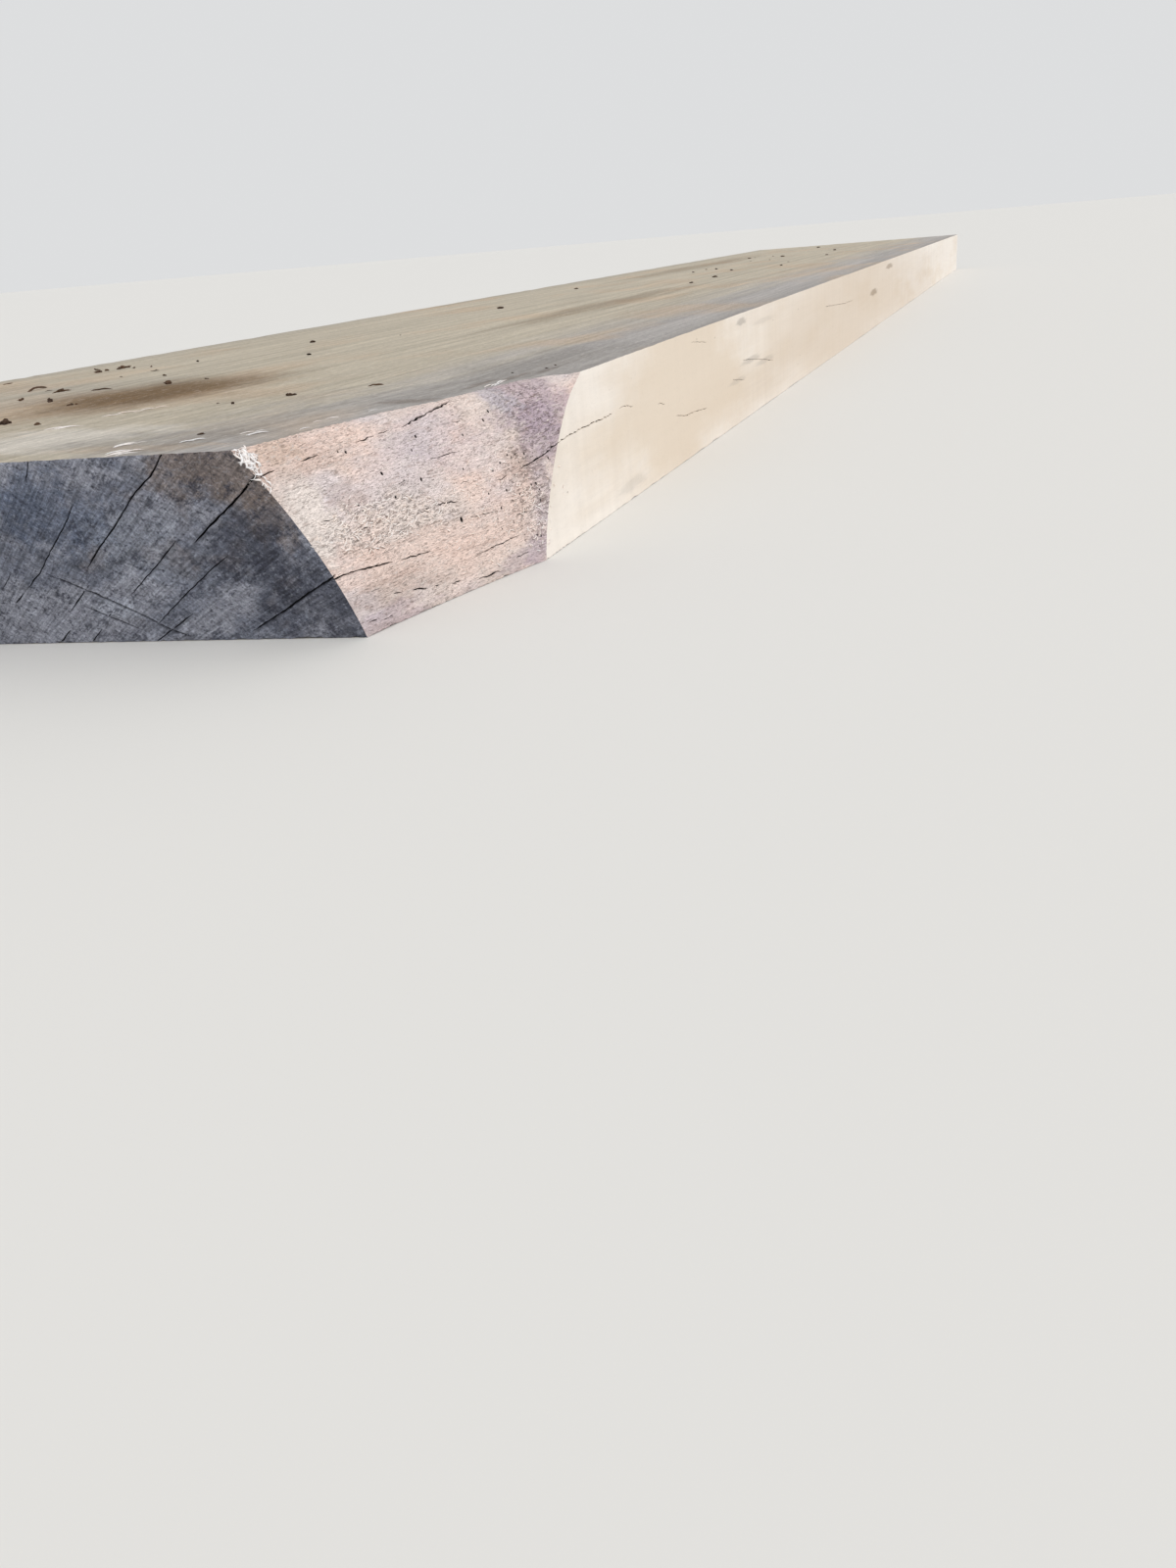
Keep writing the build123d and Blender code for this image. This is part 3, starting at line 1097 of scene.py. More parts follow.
# The shader node groups, with the inputs and outputs of each
SHADER_GROUPS = {
    "stain": (stain, {"Centre": (0.0, 0.0, 0.0), "Reach": (0.1, 0.1, 0.1), "Ragged": 2.0}, ["Mask"]),
    "beech_grain": (beech_grain, {}, ["Fibres", "Streaks"]),
    "specks": (specks, {"Place": (0.0, 0.0, 0.0), "Size": (0.001, 0.004, 0.001)}, ["Dark", "Pale"]),
    "saw_marks": (saw_marks, {
        "Across": (0.0, 1.0, 0.0), "Along": (0.0, 0.0, 1.0), "Spacing": 0.003, "Length": 0.08,
    }, ["Lines"]),
    "split_depths": (split_depths, {}, ["Mask"]),
    "end_rays": (end_rays, {"Heart": (0.0, 0.0, 0.0)}, ["Rays", "Rounds", "Blots"]),
}


def shader_group(name):
    """One of the shader node groups, built once."""
    if name in bpy.data.node_groups:
        return bpy.data.node_groups[name]
    write, inputs, outputs = SHADER_GROUPS[name]
    tree = bpy.data.node_groups.new(name, "ShaderNodeTree")
    for label, default in inputs.items():
        kind = "NodeSocketVector" if isinstance(default, tuple) else "NodeSocketFloat"
        tree.interface.new_socket(name=label, in_out="INPUT", socket_type=kind).default_value = default
    for label in outputs:
        tree.interface.new_socket(name=label, in_out="OUTPUT", socket_type="NodeSocketFloat")
    recipe = Recipe(tree)
    results = write(recipe, recipe.put("NodeGroupInput").outputs)
    recipe.put("NodeGroupOutput", dict(zip(outputs, results)))
    return tree


# Stains and painted shade, in millimetres, each over the ones before it: middle, reach, raggedness, share and
# colour. Rows of painted shade are marked as such; the end's painted shade has no colour column, as all of it
# is laid in the end grain's darkest colour.
END_STAINS = [((x, -30, z), (wide, 400, high), 2.2, *rest) for x, z, wide, high, *rest in (
    (90, 10, 100, 24, 0.9, "steel"), (110, 95, 60, 14, 0.5, "steel"), (187, 72, 17, 17, 0.6, "steel"),
    (222, 92, 38, 24, 0.8, "umber"), (243, 70, 14, 26, 0.6, "umber"), (-190, 50, 90, 60, 0.4, "umber"),
    (146, 66, 15, 16, 0.5, "ink"), (122, 74, 24, 26, 0.58, "ink"), (168, 52, 30, 24, 0.3, "frost"),
    (141, 19, 16, 7, 0.5, "frost"), (60, 66, 30, 30, 0.5, "ink"), (-60, 60, 70, 30, 0.4, "ink"),
)]
# Painted shade over a few dark areas of the end, all laid in the end grain's darkest colour.
END_PAINTED_SHADE = [((x, -30, z), (wide, 400, high), 2.2, *rest) for x, z, wide, high, *rest in (
    (227, 50, 24, 22, 1.4), (255, 20, 38, 28, 1.3), (-120, 30, 60, 30, 0.8), (120, 72, 30, 22, 0.35),
)]
WANE_STAINS_AND_SHADE = [((x, s, z), (120, long, high), 2.2, *rest) for x, s, z, long, high, *rest in (
    (256, -6, 60, 20, 22, 1.0, "chalk"), (268, 45, 50, 60, 14, 0.4, "chalk"),
    (285, 92, 74, 60, 26, 0.55, "petal"), (250, 20, 96, 76, 9, 0.5, "salmon"),
    (244, -6, 95, 18, 9, 0.3, "fawn"), (260, 20, 68, 16, 8, 0.3, "rind"),
    (275, 45, 30, 84, 12, 0.6, "salmon"), (275, 30, 17, 50, 9, 0.3, "rind"),
    # The first mauve blot below, low on the wane by its foot, is painted shade.
    (272, 18, 3, 44, 9, 0.42, "mauve"), (300, 120, 24, 60, 20, 0.5, "salmon"),
    (300, 198, 88, 42, 24, 0.64, "mauve"), (302, 190, 72, 27, 20, 0.6, "mauve"),
    (290, 170, 93, 15, 9, 0.35, "frost"), (300, 163, 57, 16, 12, 0.34, "rind"),
    (307, 172, 36, 13, 38, 0.32, "mauve"), (307, 156, 7, 16, 12, 0.5, "mauve"),
    # The first mauve blot below, low on the wane by its foot, is painted shade.
    (300, 134, 5, 20, 7, 0.35, "mauve"), (276, 105, 84, 44, 16, 0.2, "mauve"),
    (249, 4, 88, 30, 12, 0.15, "rind"), (272, 75, 74, 36, 14, 0.08, "mauve"),
    (-300, 40, 30, 90, 20, 0.3, "mauve"), (-300, 190, 70, 40, 50, 0.4, "rind"),
)]
EDGE_STAINS_AND_SHADE = [((x, s, z), (60, long, high), 1.2, *rest) for x, s, z, long, high, *rest in (
    # The second honey blot below, over the farther part of the right edge, is painted shade: it warms and
    # darkens that part.
    (310, 520, 60, 260, 90, 0.8, "honey"), (310, 1500, 60, 900, 90, 0.5, "honey"),
    (310, 346, 10, 40, 5, 0.18, "mildew"), (310, 765, 53, 50, 3.5, 0.3, "mildew"),
    (310, 835, 45, 54, 3.5, 0.25, "mildew"), (310, 702, 40, 42, 3, 0.2, "mildew"),
    (310, 724, 92, 24, 4, 0.45, "mildew"), (310, 830, 85, 56, 3, 0.14, "mildew"),
    (310, 1755, 57, 52, 6, 0.55, "tannin"), (310, 1982, 88, 60, 5, 0.5, "tannin"),
    # The broad fawn wash below, along the farther part of the right edge, darkens it: painted shade.
    (310, 1900, 50, 1300, 130, 0.25, "fawn"), (-310, 900, 40, 220, 12, 0.3, "mildew"),
    (-310, 2300, 60, 70, 10, 0.6, "peat"),
)]
FACE_STAINS_AND_SHADE = [((x, s, 100), (wide, long, 30), *rest) for x, s, wide, long, *rest in (
    (-70, 190, 120, 110, 1.4, 0.6, "fawn"), (-15, 105, 80, 70, 1.8, 0.12, "tannin"),
    # The first grey blot below, a broad wash left of the middle of the upper face, is painted shade.
    (-150, 265, 130, 120, 1.6, 0.3, "mildew"), (236, 170, 44, 66, 2.0, 0.4, "mildew"),
    # The four tannin blots that start here, nested near s 250 just left of the middle of the upper face, make
    # a darker brown patch.
    (-6, 262, 98, 150, 1.0, 0.24, "tannin"), (-18, 250, 88, 122, 1.0, 0.46, "tannin"),
    (-14, 246, 70, 92, 1.0, 0.55, "tannin"), (-12, 244, 52, 66, 1.1, 0.45, "tannin"),
    (255, 330, 60, 130, 2.4, 0.5, "mildew"), (246, 132, 24, 11, 1.8, 0.4, "peat"),
    (259, 206, 5, 26, 1.6, 0.4, "peat"), (269, 240, 5, 28, 1.6, 0.4, "peat"),
    (279, 270, 4, 24, 1.6, 0.35, "peat"), (190, 60, 24, 90, 2.4, 0.5, "mildew"),
    (168, -14, 60, 12, 2.2, 0.5, "fawn"), (80, 24, 84, 52, 1.8, 0.26, "floss"),
    (165, 10, 70, 40, 2.0, 0.5, "mildew"), (60, 1100, 40, 380, 2.0, 0.35, "tannin"),
    (-170, 2500, 50, 600, 2.0, 0.35, "tannin"),
)]


def plank_place(scene, x, s, z):
    """A place on the plank, given from its waney corner in millimetres, in the plank's frame."""
    return (x * MM, FAR_Y - scene.beech_shape.length + s * MM, z * MM)


def blot(recipe, scene, place, reach, ragged):
    """Mask of one blot, for the stains and for the painted shade, its place and reach in millimetres."""
    spread = tuple(r * MM for r in reach)
    return recipe.use("stain", Centre=plank_place(scene, *place), Reach=spread, Ragged=ragged)["Mask"]


def stained(recipe, scene, tone, stains):
    """A colour with the blots of a table laid over it: stains, and painted shade in the rows marked so."""
    tints = scene.beech_colours
    masks = [(blot(recipe, scene, *where), share, getattr(tints, over)) for *where, share, over in stains]
    return recipe.layers(tone, *masks)


def weathered_end(recipe, scene):
    """End grain gone slate grey, with scores and dark blots, painted shade over a few dark areas, and painted
    shade in its splits.
    """
    tints, shape = scene.beech_colours, scene.beech_shape
    place = recipe.object_place()
    lines = recipe.use("end_rays", Heart=(shape.heart_x, 0.0, -shape.heart_depth))
    patches = recipe.cloud(place, (0.030, 0.030, 0.024), 3.0, 0.55, 2.0)
    flocks = recipe.rise(recipe.cloud(place, (0.022, 0.022, 0.018), 2.0, 0.5, 4.0), 0.38, 0.62)
    grit = recipe.cloud(place, (0.0013, 0.0013, 0.0013), 3.0, 0.75, 9.0)
    flecks = recipe.use("specks", Place=place, Size=(0.0030, 0.0030, 0.0019))
    slant = {"Across": (0.5, 0.0, 0.87), "Along": (0.87, 0.0, -0.5)}
    scores = recipe.use("saw_marks", **slant, Spacing=0.0012, Length=0.030)["Lines"]
    tone = recipe.blend(recipe.rise(patches, 0.42, 0.60), tints.slate, tints.steel)
    tone = recipe.layers(tone, (recipe.rise(patches, 0.40, 0.28), 0.35, tints.umber))
    tone = stained(recipe, scene, tone, END_STAINS)
    # Painted shade: a few dark areas of the end are laid in its darkest colour, and they also deepen the dark
    # blots there.
    shade_zones = [recipe.times(blot(recipe, scene, *where), share) for *where, share in END_PAINTED_SHADE]
    painted_shade = reduce(lambda darkest, other: recipe.sum("MAXIMUM", darkest, other), shade_zones)
    tone = recipe.layers(tone, (painted_shade, 0.42, tints.soot))
    darker = recipe.sum("SUBTRACT", lines["Blots"], recipe.times(painted_shade, 0.06))
    shares = recipe.sum("ADD", recipe.times(flocks, 0.45), 0.30)
    tone = recipe.layers(tone, (recipe.rise(darker, 0.50, 0.38), shares, tints.soot),
                         (flecks["Dark"], 0.75, tints.soot), (flecks["Pale"], 0.28, tints.frost))
    tone = recipe.worked(tone, (lines["Rays"], 0.72), (lines["Rounds"], 0.38), (grit, 0.78), (scores, 0.3))
    # The depths of the splits and holes are painted dark: painted shade.
    tone = recipe.blend(recipe.use("split_depths")["Mask"], tone, tints.hollow)
    ridges, pits = recipe.sum("ADD", lines["Rays"], lines["Rounds"]), recipe.sum("ADD", lines["Blots"], grit)
    return tone, recipe.sum("ADD", ridges, pits)


def wane_skin(recipe, scene):
    """The log's own surface, bared of bark: pale, streaked and flecked, with stains, and painted shade at its
    foot, in the crevices of its crust and in its splits and holes.
    """
    tints = scene.beech_colours
    place, wood = recipe.object_place(), recipe.wood_place()
    grain = recipe.use("beech_grain")
    patches = recipe.cloud(place, (0.045, 0.060, 0.035), 2.0, 0.45, 3.0)
    cool = recipe.cloud(place, (0.040, 0.060, 0.030), 2.0, 0.45, 5.0)
    grit = recipe.cloud(wood, (0.0008, 0.0024, 0.0008), 3.0, 0.75, 2.0)
    dashes = recipe.use("specks", Place=wood, Size=(0.0010, 0.0044, 0.0010))
    smears = recipe.use("specks", Place=wood, Size=(0.0026, 0.011, 0.0026))
    tone = recipe.blend(recipe.rise(patches, 0.38, 0.66), tints.biscuit, tints.salmon)
    tone = recipe.blend(recipe.rise(cool, 0.45, 0.70), tone, tints.petal)
    tone = stained(recipe, scene, tone, WANE_STAINS_AND_SHADE)
    tone = recipe.worked(tone, (grain["Streaks"], 0.12), (grain["Fibres"], 0.34), (grit, 0.44))
    # Dark gaps in the crust of lifted fibre, in three regions of the wane: painted shade in its crevices,
    # laid in brown, where the height also dips.
    crust = blot(recipe, scene, (266, 42, 50), (120, 60, 16), 1.6)
    ragged = blot(recipe, scene, (305, 162, 38), (120, 28, 36), 1.6)
    gaps = recipe.cloud(wood, (0.0016, 0.0042, 0.0016), 3.0, 0.6, 13.0)
    bruised = blot(recipe, scene, (303, 188, 80), (120, 34, 26), 1.6)
    gaps = recipe.rise(gaps, 0.47, 0.36)
    gaps = recipe.times(gaps, recipe.sum("MAXIMUM", bruised, recipe.sum("MAXIMUM", crust, ragged)))
    tone = recipe.layers(tone, (dashes["Dark"], 0.42, tints.peat), (dashes["Pale"], 0.8, tints.chalk),
                         (smears["Dark"], 0.32, tints.rind), (smears["Pale"], 0.35, tints.chalk),
                         (gaps, 0.24, tints.rind))
    # The depths of the splits and holes are painted dark: painted shade.
    tone = recipe.blend(recipe.use("split_depths")["Mask"], tone, tints.hollow)
    fine = recipe.times(recipe.sum("ADD", grain["Fibres"], grit), 0.6)
    flecks = recipe.times(recipe.sum("SUBTRACT", dashes["Pale"], dashes["Dark"]), 0.4)
    return tone, recipe.sum("SUBTRACT", recipe.sum("ADD", fine, flecks), recipe.times(gaps, 1.5))


def sawn_edge(recipe, scene):
    """Clean sawn wood of the edges: cream, very faintly banded by the saw, with painted shade over the
    farther part of the right edge and in its splits.
    """
    tints = scene.beech_colours
    place = recipe.object_place()
    grain = recipe.use("beech_grain")
    bands = recipe.use("saw_marks", Spacing=0.016, Length=0.25)["Lines"]
    kerf = recipe.use("saw_marks", Spacing=0.0014, Length=0.05)["Lines"]
    flecks = recipe.use("specks", Place=place, Size=(0.0015, 0.004, 0.0015))
    warm = recipe.cloud(place, (0.1, 0.35, 0.06), 3.0, 0.55, 7.0)
    tone = recipe.blend(recipe.rise(warm, 0.45, 0.75, 0.6), tints.cream, tints.honey)
    tone = recipe.worked(tone, (bands, 0.06), (grain["Streaks"], 0.05))
    tone = stained(recipe, scene, tone, EDGE_STAINS_AND_SHADE)
    cells = recipe.vector("DIVIDE", place, (0.03, 0.03, 0.02))
    dots = recipe.rise(recipe.get("ShaderNodeTexVoronoi", {"Vector": cells, "Scale": 1.0}), 0.05, 0.03)
    # The dots and dark flecks are the wood's own; the depths of the splits are painted dark as painted shade.
    tone = recipe.layers(tone, (dots, 0.5, tints.peat), (flecks["Dark"], 0.05, tints.peat),
                         (recipe.use("split_depths")["Mask"], 1.0, tints.hollow))
    return tone, recipe.sum("ADD", recipe.times(kerf, 0.5), recipe.times(grain["Fibres"], 0.5))


def sawn_face(recipe, scene):
    """The slab-sawn faces: beige wood, greyed by the weather towards its edges, with long soft streaks, and a
    broad grey wash of painted shade left of the middle of the upper face.
    """
    tints = scene.beech_colours
    place, wood = recipe.object_place(), recipe.wood_place()
    grain = recipe.use("beech_grain")
    kerf = recipe.use("saw_marks", Along=(1.0, 0.0, 0.0), Spacing=0.0025, Length=0.12)["Lines"]
    across = recipe.get("ShaderNodeSeparateXYZ", {0: wood})
    broad = recipe.cloud(wood, (0.022, 0.7, 0.022), 3.0, 0.5, 3.0)
    bands = recipe.cloud(wood, (0.009, 0.6, 0.009), 4.0, 0.6, 11.0)
    patches = recipe.cloud(place, (0.10, 0.20, 0.10), 3.0, 0.5, 8.0)
    swayed = recipe.sum("ADD", across, recipe.times(recipe.sum("SUBTRACT", broad, 0.5), 0.16))
    tone = recipe.blend(recipe.rise(swayed, 0.28, 0.43, 0.85), tints.straw, tints.driftwood)
    swayed = recipe.sum("ADD", across, recipe.times(recipe.sum("SUBTRACT", bands, 0.5), 0.05))
    left, right = recipe.rise(swayed, -0.120, -0.152), recipe.rise(swayed, 0.436, 0.462)
    tone = recipe.layers(tone, (right, 0.42, tints.mildew), (left, 0.35, tints.mildew),
                         (recipe.rise(patches, 0.50, 0.68), 0.5, tints.fawn))
    tone = stained(recipe, scene, tone, FACE_STAINS_AND_SHADE)
    flecks = recipe.use("specks", Place=wood, Size=(0.0016, 0.011, 0.0016))
    tone = recipe.layers(tone, (flecks["Dark"], 0.22, tints.peat), (flecks["Pale"], 0.30, tints.chalk))
    tone = recipe.worked(tone, (grain["Fibres"], 0.34), (grain["Streaks"], 0.24), (bands, 0.30))
    return tone, recipe.sum("ADD", recipe.times(kerf, 0.4), grain["Fibres"])


def mottled(recipe, under, over, size, detail, spread, base):
    """Colour and height of a loose bit: its own shade between two colours, mottled."""
    each = recipe.stored("tone")
    fine = recipe.cloud(recipe.object_place(), (size, size, size), detail)
    tone = recipe.blend(each, under, over)
    return recipe.shade(tone, recipe.sum("ADD", recipe.rise(fine, 0.3, 0.7, spread), base)), fine


def loose_fibre(recipe, scene):
    """Torn fibre and lint, pale, each bit a little different."""
    tints = scene.beech_colours
    return mottled(recipe, tints.lint, tints.floss, 0.0012, 3.0, 0.25, 0.85)


def bark_crumb(recipe, scene):
    """Crumbs of bark and leaf, brown to black."""
    tints = scene.beech_colours
    return mottled(recipe, tints.hollow, tints.peat, 0.0015, 4.0, 0.6, 0.7)


# Roughness of each finish, and the height of its bumps in metres
FINISHES = {
    weathered_end: (0.85, 0.0012), wane_skin: (0.8, 0.0007), sawn_edge: (0.7, 0.00018),
    sawn_face: (0.8, 0.0006), loose_fibre: (0.8, 0.0002), bark_crumb: (0.9, 0.0006),
}


SHEEN = 0.25  # dry wood hardly shines


def new_material(name):
    """A material and its Principled node."""
    material = bpy.data.materials.new(name)
    material.use_nodes = True
    return material, material.node_tree.nodes["Principled BSDF"]


def finish(scene, write):
    """A wood material, its colour and height written by one of the finishes."""
    rough, bump = FINISHES[write]
    material, surface = new_material(write.__name__)
    recipe = Recipe(material.node_tree)
    tone, height = write(recipe, scene)
    raised = recipe.get("ShaderNodeBump", {"Strength": 1.0, "Distance": bump, "Height": height})
    material.node_tree.links.new(tone, surface.inputs["Base Color"])
    material.node_tree.links.new(raised, surface.inputs["Normal"])
    surface.inputs["Roughness"].default_value = rough
    surface.inputs["Specular IOR Level"].default_value = SHEEN
    return material


# Pieces that a node tree scatters over the skin

SCATTER_INPUTS = {
    "Skin": ("Geometry", None), "Material": ("Material", None), "Centre": ("Vector", (0.0, 0.0, 0.0)),
    "Reach": ("Vector", (0.1, 0.1, 0.1)), "Facing": ("Vector", (1.0, 0.0, 0.0)),
    "Run": ("Vector", (0.0, 1.0, 0.0)), "Density": ("Float", 20000.0), "Length": ("Float", 0.006),
    "Breadth": ("Float", 0.0004), "Thickness": ("Float", 0.0003), "Rise": ("Float", 0.0015),
    "Turn": ("Float", 0.6), "Curl": ("Float", 0.002), "Whiteness": ("Float", 0.3), "Seed": ("Int", 1),
}


FACED = 0.6  # how squarely the skin has to face a region's way to bear bits
BIT_SIZES, BIT_SHADES = (0.45, 1.4), (-0.3, 0.3)  # how bits vary in size and in whiteness
CURLS = (4 * MM, 4 * MM, 4 * MM)  # size of the waves that curl the bits
RIBBON_STEPS, THINNING = 6, 0.85  # of a fibre: its steps, and the share of its breadth that its ends lose


def scatter_tree(name, make_bit):
    """A geometry tree that scatters small bits over an oval region of the skin; make_bit shapes one."""
    tree = bpy.data.node_groups.new(name, "GeometryNodeTree")
    for label, (kind, default) in SCATTER_INPUTS.items():
        socket = tree.interface.new_socket(name=label, in_out="INPUT", socket_type="NodeSocket" + kind)
        if default is not None:
            socket.default_value = default
    tree.interface.new_socket(name="Bits", in_out="OUTPUT", socket_type="NodeSocketGeometry")
    recipe = Recipe(tree)
    asked = recipe.put("NodeGroupInput").outputs
    place = recipe.get("GeometryNodeInputPosition")
    far = recipe.vector("LENGTH", recipe.away(place, asked))
    faced = recipe.vector("DOT_PRODUCT", recipe.get("GeometryNodeInputNormal"), asked["Facing"])
    density = recipe.times(recipe.rise(far, 1.0, 0.3), asked["Density"])
    faced = recipe.sum("GREATER_THAN", faced, FACED)
    inputs = {"Mesh": asked["Skin"], "Selection": faced, "Density": density, "Seed": asked["Seed"]}
    spread = recipe.put("GeometryNodeDistributePointsOnFaces", inputs, distribute_method="RANDOM").outputs
    inputs = {0: spread["Normal"], 1: asked["Run"]}
    lie = recipe.get("FunctionNodeAxesToRotation", inputs, primary_axis="Z", secondary_axis="Y")
    turn = recipe.random(recipe.times(asked["Turn"], -1.0), asked["Turn"], asked["Seed"], 1)
    yaw = recipe.xyz(Z=turn)
    inputs = {0: lie, 1: recipe.get("FunctionNodeEulerToRotation", {0: yaw})}
    turned = recipe.get("FunctionNodeRotateRotation", inputs, rotation_space="LOCAL")
    size = recipe.random(*BIT_SIZES, asked["Seed"], 2)
    bit = make_bit(recipe, asked)
    inputs = {"Points": spread["Points"], "Instance": bit, "Rotation": turned, "Scale": size}
    bits = recipe.get("GeometryNodeInstanceOnPoints", inputs)
    tone = recipe.sum("ADD", recipe.random(*BIT_SHADES, asked["Seed"], 3), asked["Whiteness"])
    inputs = {"Geometry": bits, "Name": "tone", "Value": tone}
    bits = recipe.get("GeometryNodeStoreNamedAttribute", inputs, domain="INSTANCE")
    bits = recipe.get("GeometryNodeRealizeInstances", {0: bits})
    wave = recipe.noise(recipe.vector("DIVIDE", place, CURLS), output="Color")
    bend = recipe.vector("SCALE", recipe.vector("SUBTRACT", wave, (0.5, 0.5, 0.5)), Scale=asked["Curl"])
    bits = recipe.get("GeometryNodeSetPosition", {"Geometry": bits, "Offset": bend})
    bits = recipe.get("GeometryNodeSetMaterial", {"Geometry": bits, "Material": asked["Material"]})
    recipe.put("NodeGroupOutput", {0: bits})
    return tree


def fibre_bit(recipe, asked):
    """One torn fibre: a bowed ribbon, thin at its ends."""
    half = recipe.times(asked["Length"], 0.5)
    middle = recipe.xyz(X=recipe.times(asked["Rise"], 0.6), Z=recipe.times(asked["Rise"], 2.0))
    start, end = (recipe.xyz(Y=recipe.times(half, way), Z=low) for way, low in ((-1.0, -0.0002), (1.0, 0.0)))
    inputs = {"Resolution": RIBBON_STEPS, "Start": start, "Middle": middle, "End": end}
    line = recipe.get("GeometryNodeCurveQuadraticBezier", inputs)
    inputs = {"Width": asked["Breadth"], "Height": asked["Thickness"]}
    profile = recipe.get("GeometryNodeCurvePrimitiveQuadrilateral", inputs)
    way = recipe.put("GeometryNodeSplineParameter").outputs["Factor"]
    off = recipe.sum("ABSOLUTE", recipe.sum("SUBTRACT", recipe.times(way, 2.0), 1.0))
    taper = recipe.sum("SUBTRACT", 1.0, recipe.times(recipe.sum("POWER", off, 3.0), THINNING))
    inputs = {"Curve": line, "Profile Curve": profile, "Scale": taper, "Fill Caps": True}
    return recipe.get("GeometryNodeCurveToMesh", inputs)


def crumb_bit(recipe, asked):
    """One crumb: a dented, flattened lump."""
    ball = recipe.get("GeometryNodeMeshIcoSphere", {"Radius": 1.0, "Subdivisions": 2})
    stretch = recipe.xyz(X=asked["Breadth"], Y=asked["Length"], Z=asked["Thickness"])
    seat = recipe.xyz(Z=recipe.times(asked["Thickness"], 0.6))
    place = recipe.get("GeometryNodeInputPosition")
    dents = recipe.rise(recipe.cloud(place, (0.9, 0.9, 0.9), 2.0, 0.6, 1.7), 0.3, 0.7)
    dented = recipe.vector("SCALE", place, Scale=recipe.sum("ADD", dents, 0.45))
    shaped = recipe.vector("ADD", recipe.vector("MULTIPLY", dented, stretch), seat)
    return recipe.get("GeometryNodeSetPosition", {"Geometry": ball, "Position": shaped})


def linked(context, name, data):
    """A new object, put in the scene."""
    made = bpy.data.objects.new(name, data)
    context.collection.objects.link(made)
    return made


def scatter(context, name, material, regions):
    """A piece scattered over the plank's skin, each region by its tree, as one plain mesh."""
    skin = bpy.data.objects["plank_skin"]
    body = bmesh.new()
    for tree, region in regions:
        bed = linked(context, "bed", skin.data)
        growth = bed.modifiers.new("growth", "NODES")
        growth.node_group = tree
        for item in tree.interface.items_tree:
            if item.in_out == "INPUT" and item.name in region:
                growth[item.identifier] = region[item.name]
            elif item.name == "Material":
                growth[item.identifier] = material
        mesh = bpy.data.meshes.new_from_object(bed.evaluated_get(context.evaluated_depsgraph_get()))
        body.from_mesh(mesh)
        bed.modifiers.remove(growth)
        bpy.data.objects.remove(bed)
        bpy.data.meshes.remove(mesh)
    mesh = bpy.data.meshes.new(name)
    body.to_mesh(mesh)
    body.free()
    mesh.materials.append(material)
    piece = linked(context, name, mesh)
    print(name, len(mesh.polygons), "faces")
    if not mesh.polygons:
        raise RuntimeError(f"{name} came out empty")
    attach(piece, BODY)


def on_top(rows):
    """Rows of bits on the upper face, given without their height and its reach."""
    return [(x, s, 100, wide, long, 6, *rest) for x, s, wide, long, *rest in rows]


# Where bits lie, in millimetres: the way the surface faces, the way they run, and for each region its middle
# (x, s, z) and reach, how many to the square metre, their length, breadth, thickness, bow and curl, how far
# they turn in radians, and their whiteness
ASIDE, ALONG, UPWARD = (1.0, 0.0, 0.0), (0.0, 1.0, 0.0), (0.0, 0.0, 1.0)
DOWN_THE_ARRIS, SLANTED = (0.25, 0.3, -0.9), (0.75, 1.0, 0.0)
FIBRES = (
    (ASIDE, DOWN_THE_ARRIS, (  # the tuft at the end's corner
        (238, -30, 92, 11, 9, 13, 950000, 4.2, 0.62, 0.35, 1.2, 3.2, 1.2, 0.75),
        (247, -26, 80, 8, 6, 10, 260000, 3.0, 0.45, 0.3, 0.8, 2.4, 1.2, 0.6),
    )),
    (ASIDE, ALONG, (  # lint on the wane
        (262, 38, 50, 120, 70, 15, 170000, 3.8, 0.4, 0.26, 0.45, 2.4, 0.9, 0.35),
        (262, 20, 56, 120, 44, 12, 90000, 3.2, 0.38, 0.26, 0.4, 2.0, 0.9, 0.35),
        (290, 130, 38, 120, 80, 34, 36000, 2.8, 0.4, 0.3, 0.5, 1.8, 0.9, 0.3),
        (305, 160, 26, 120, 18, 26, 70000, 3.4, 0.46, 0.3, 0.5, 2.6, 1.4, 0.5),
    )),
    (UPWARD, SLANTED, on_top((  # slivers lifted off the upper face
        (172, -30, 10, 9, 26000, 12.0, 1.0, 0.3, 0.5, 0.15, 0.1, 0.9),
        (150, -2, 9, 6, 26000, 10.0, 0.9, 0.3, 0.5, 0.15, 0.1, 0.8),
        (189, 4, 6, 5, 60000, 8.0, 1.0, 0.3, 0.5, 0.15, 0.1, 0.9),
        (212, 22, 12, 12, 22000, 10.0, 1.2, 0.3, 0.5, 0.15, 0.1, 0.9),
        (45, 75, 7, 7, 60000, 15.0, 1.3, 0.3, 0.5, 0.2, 0.1, 0.8),
        (50, 140, 10, 36, 7000, 11.0, 0.9, 0.3, 0.5, 0.2, 0.1, 0.5),
        (234, 70, 14, 50, 5000, 8.0, 0.7, 0.3, 0.5, 0.15, 0.1, 0.8),
    ))),
    (UPWARD, ALONG, on_top((  # slivers along the wane's rim
        (271, 200, 6, 30, 22000, 11.0, 0.8, 0.3, 0.4, 0.15, 0.1, 0.8),
    ))),
)
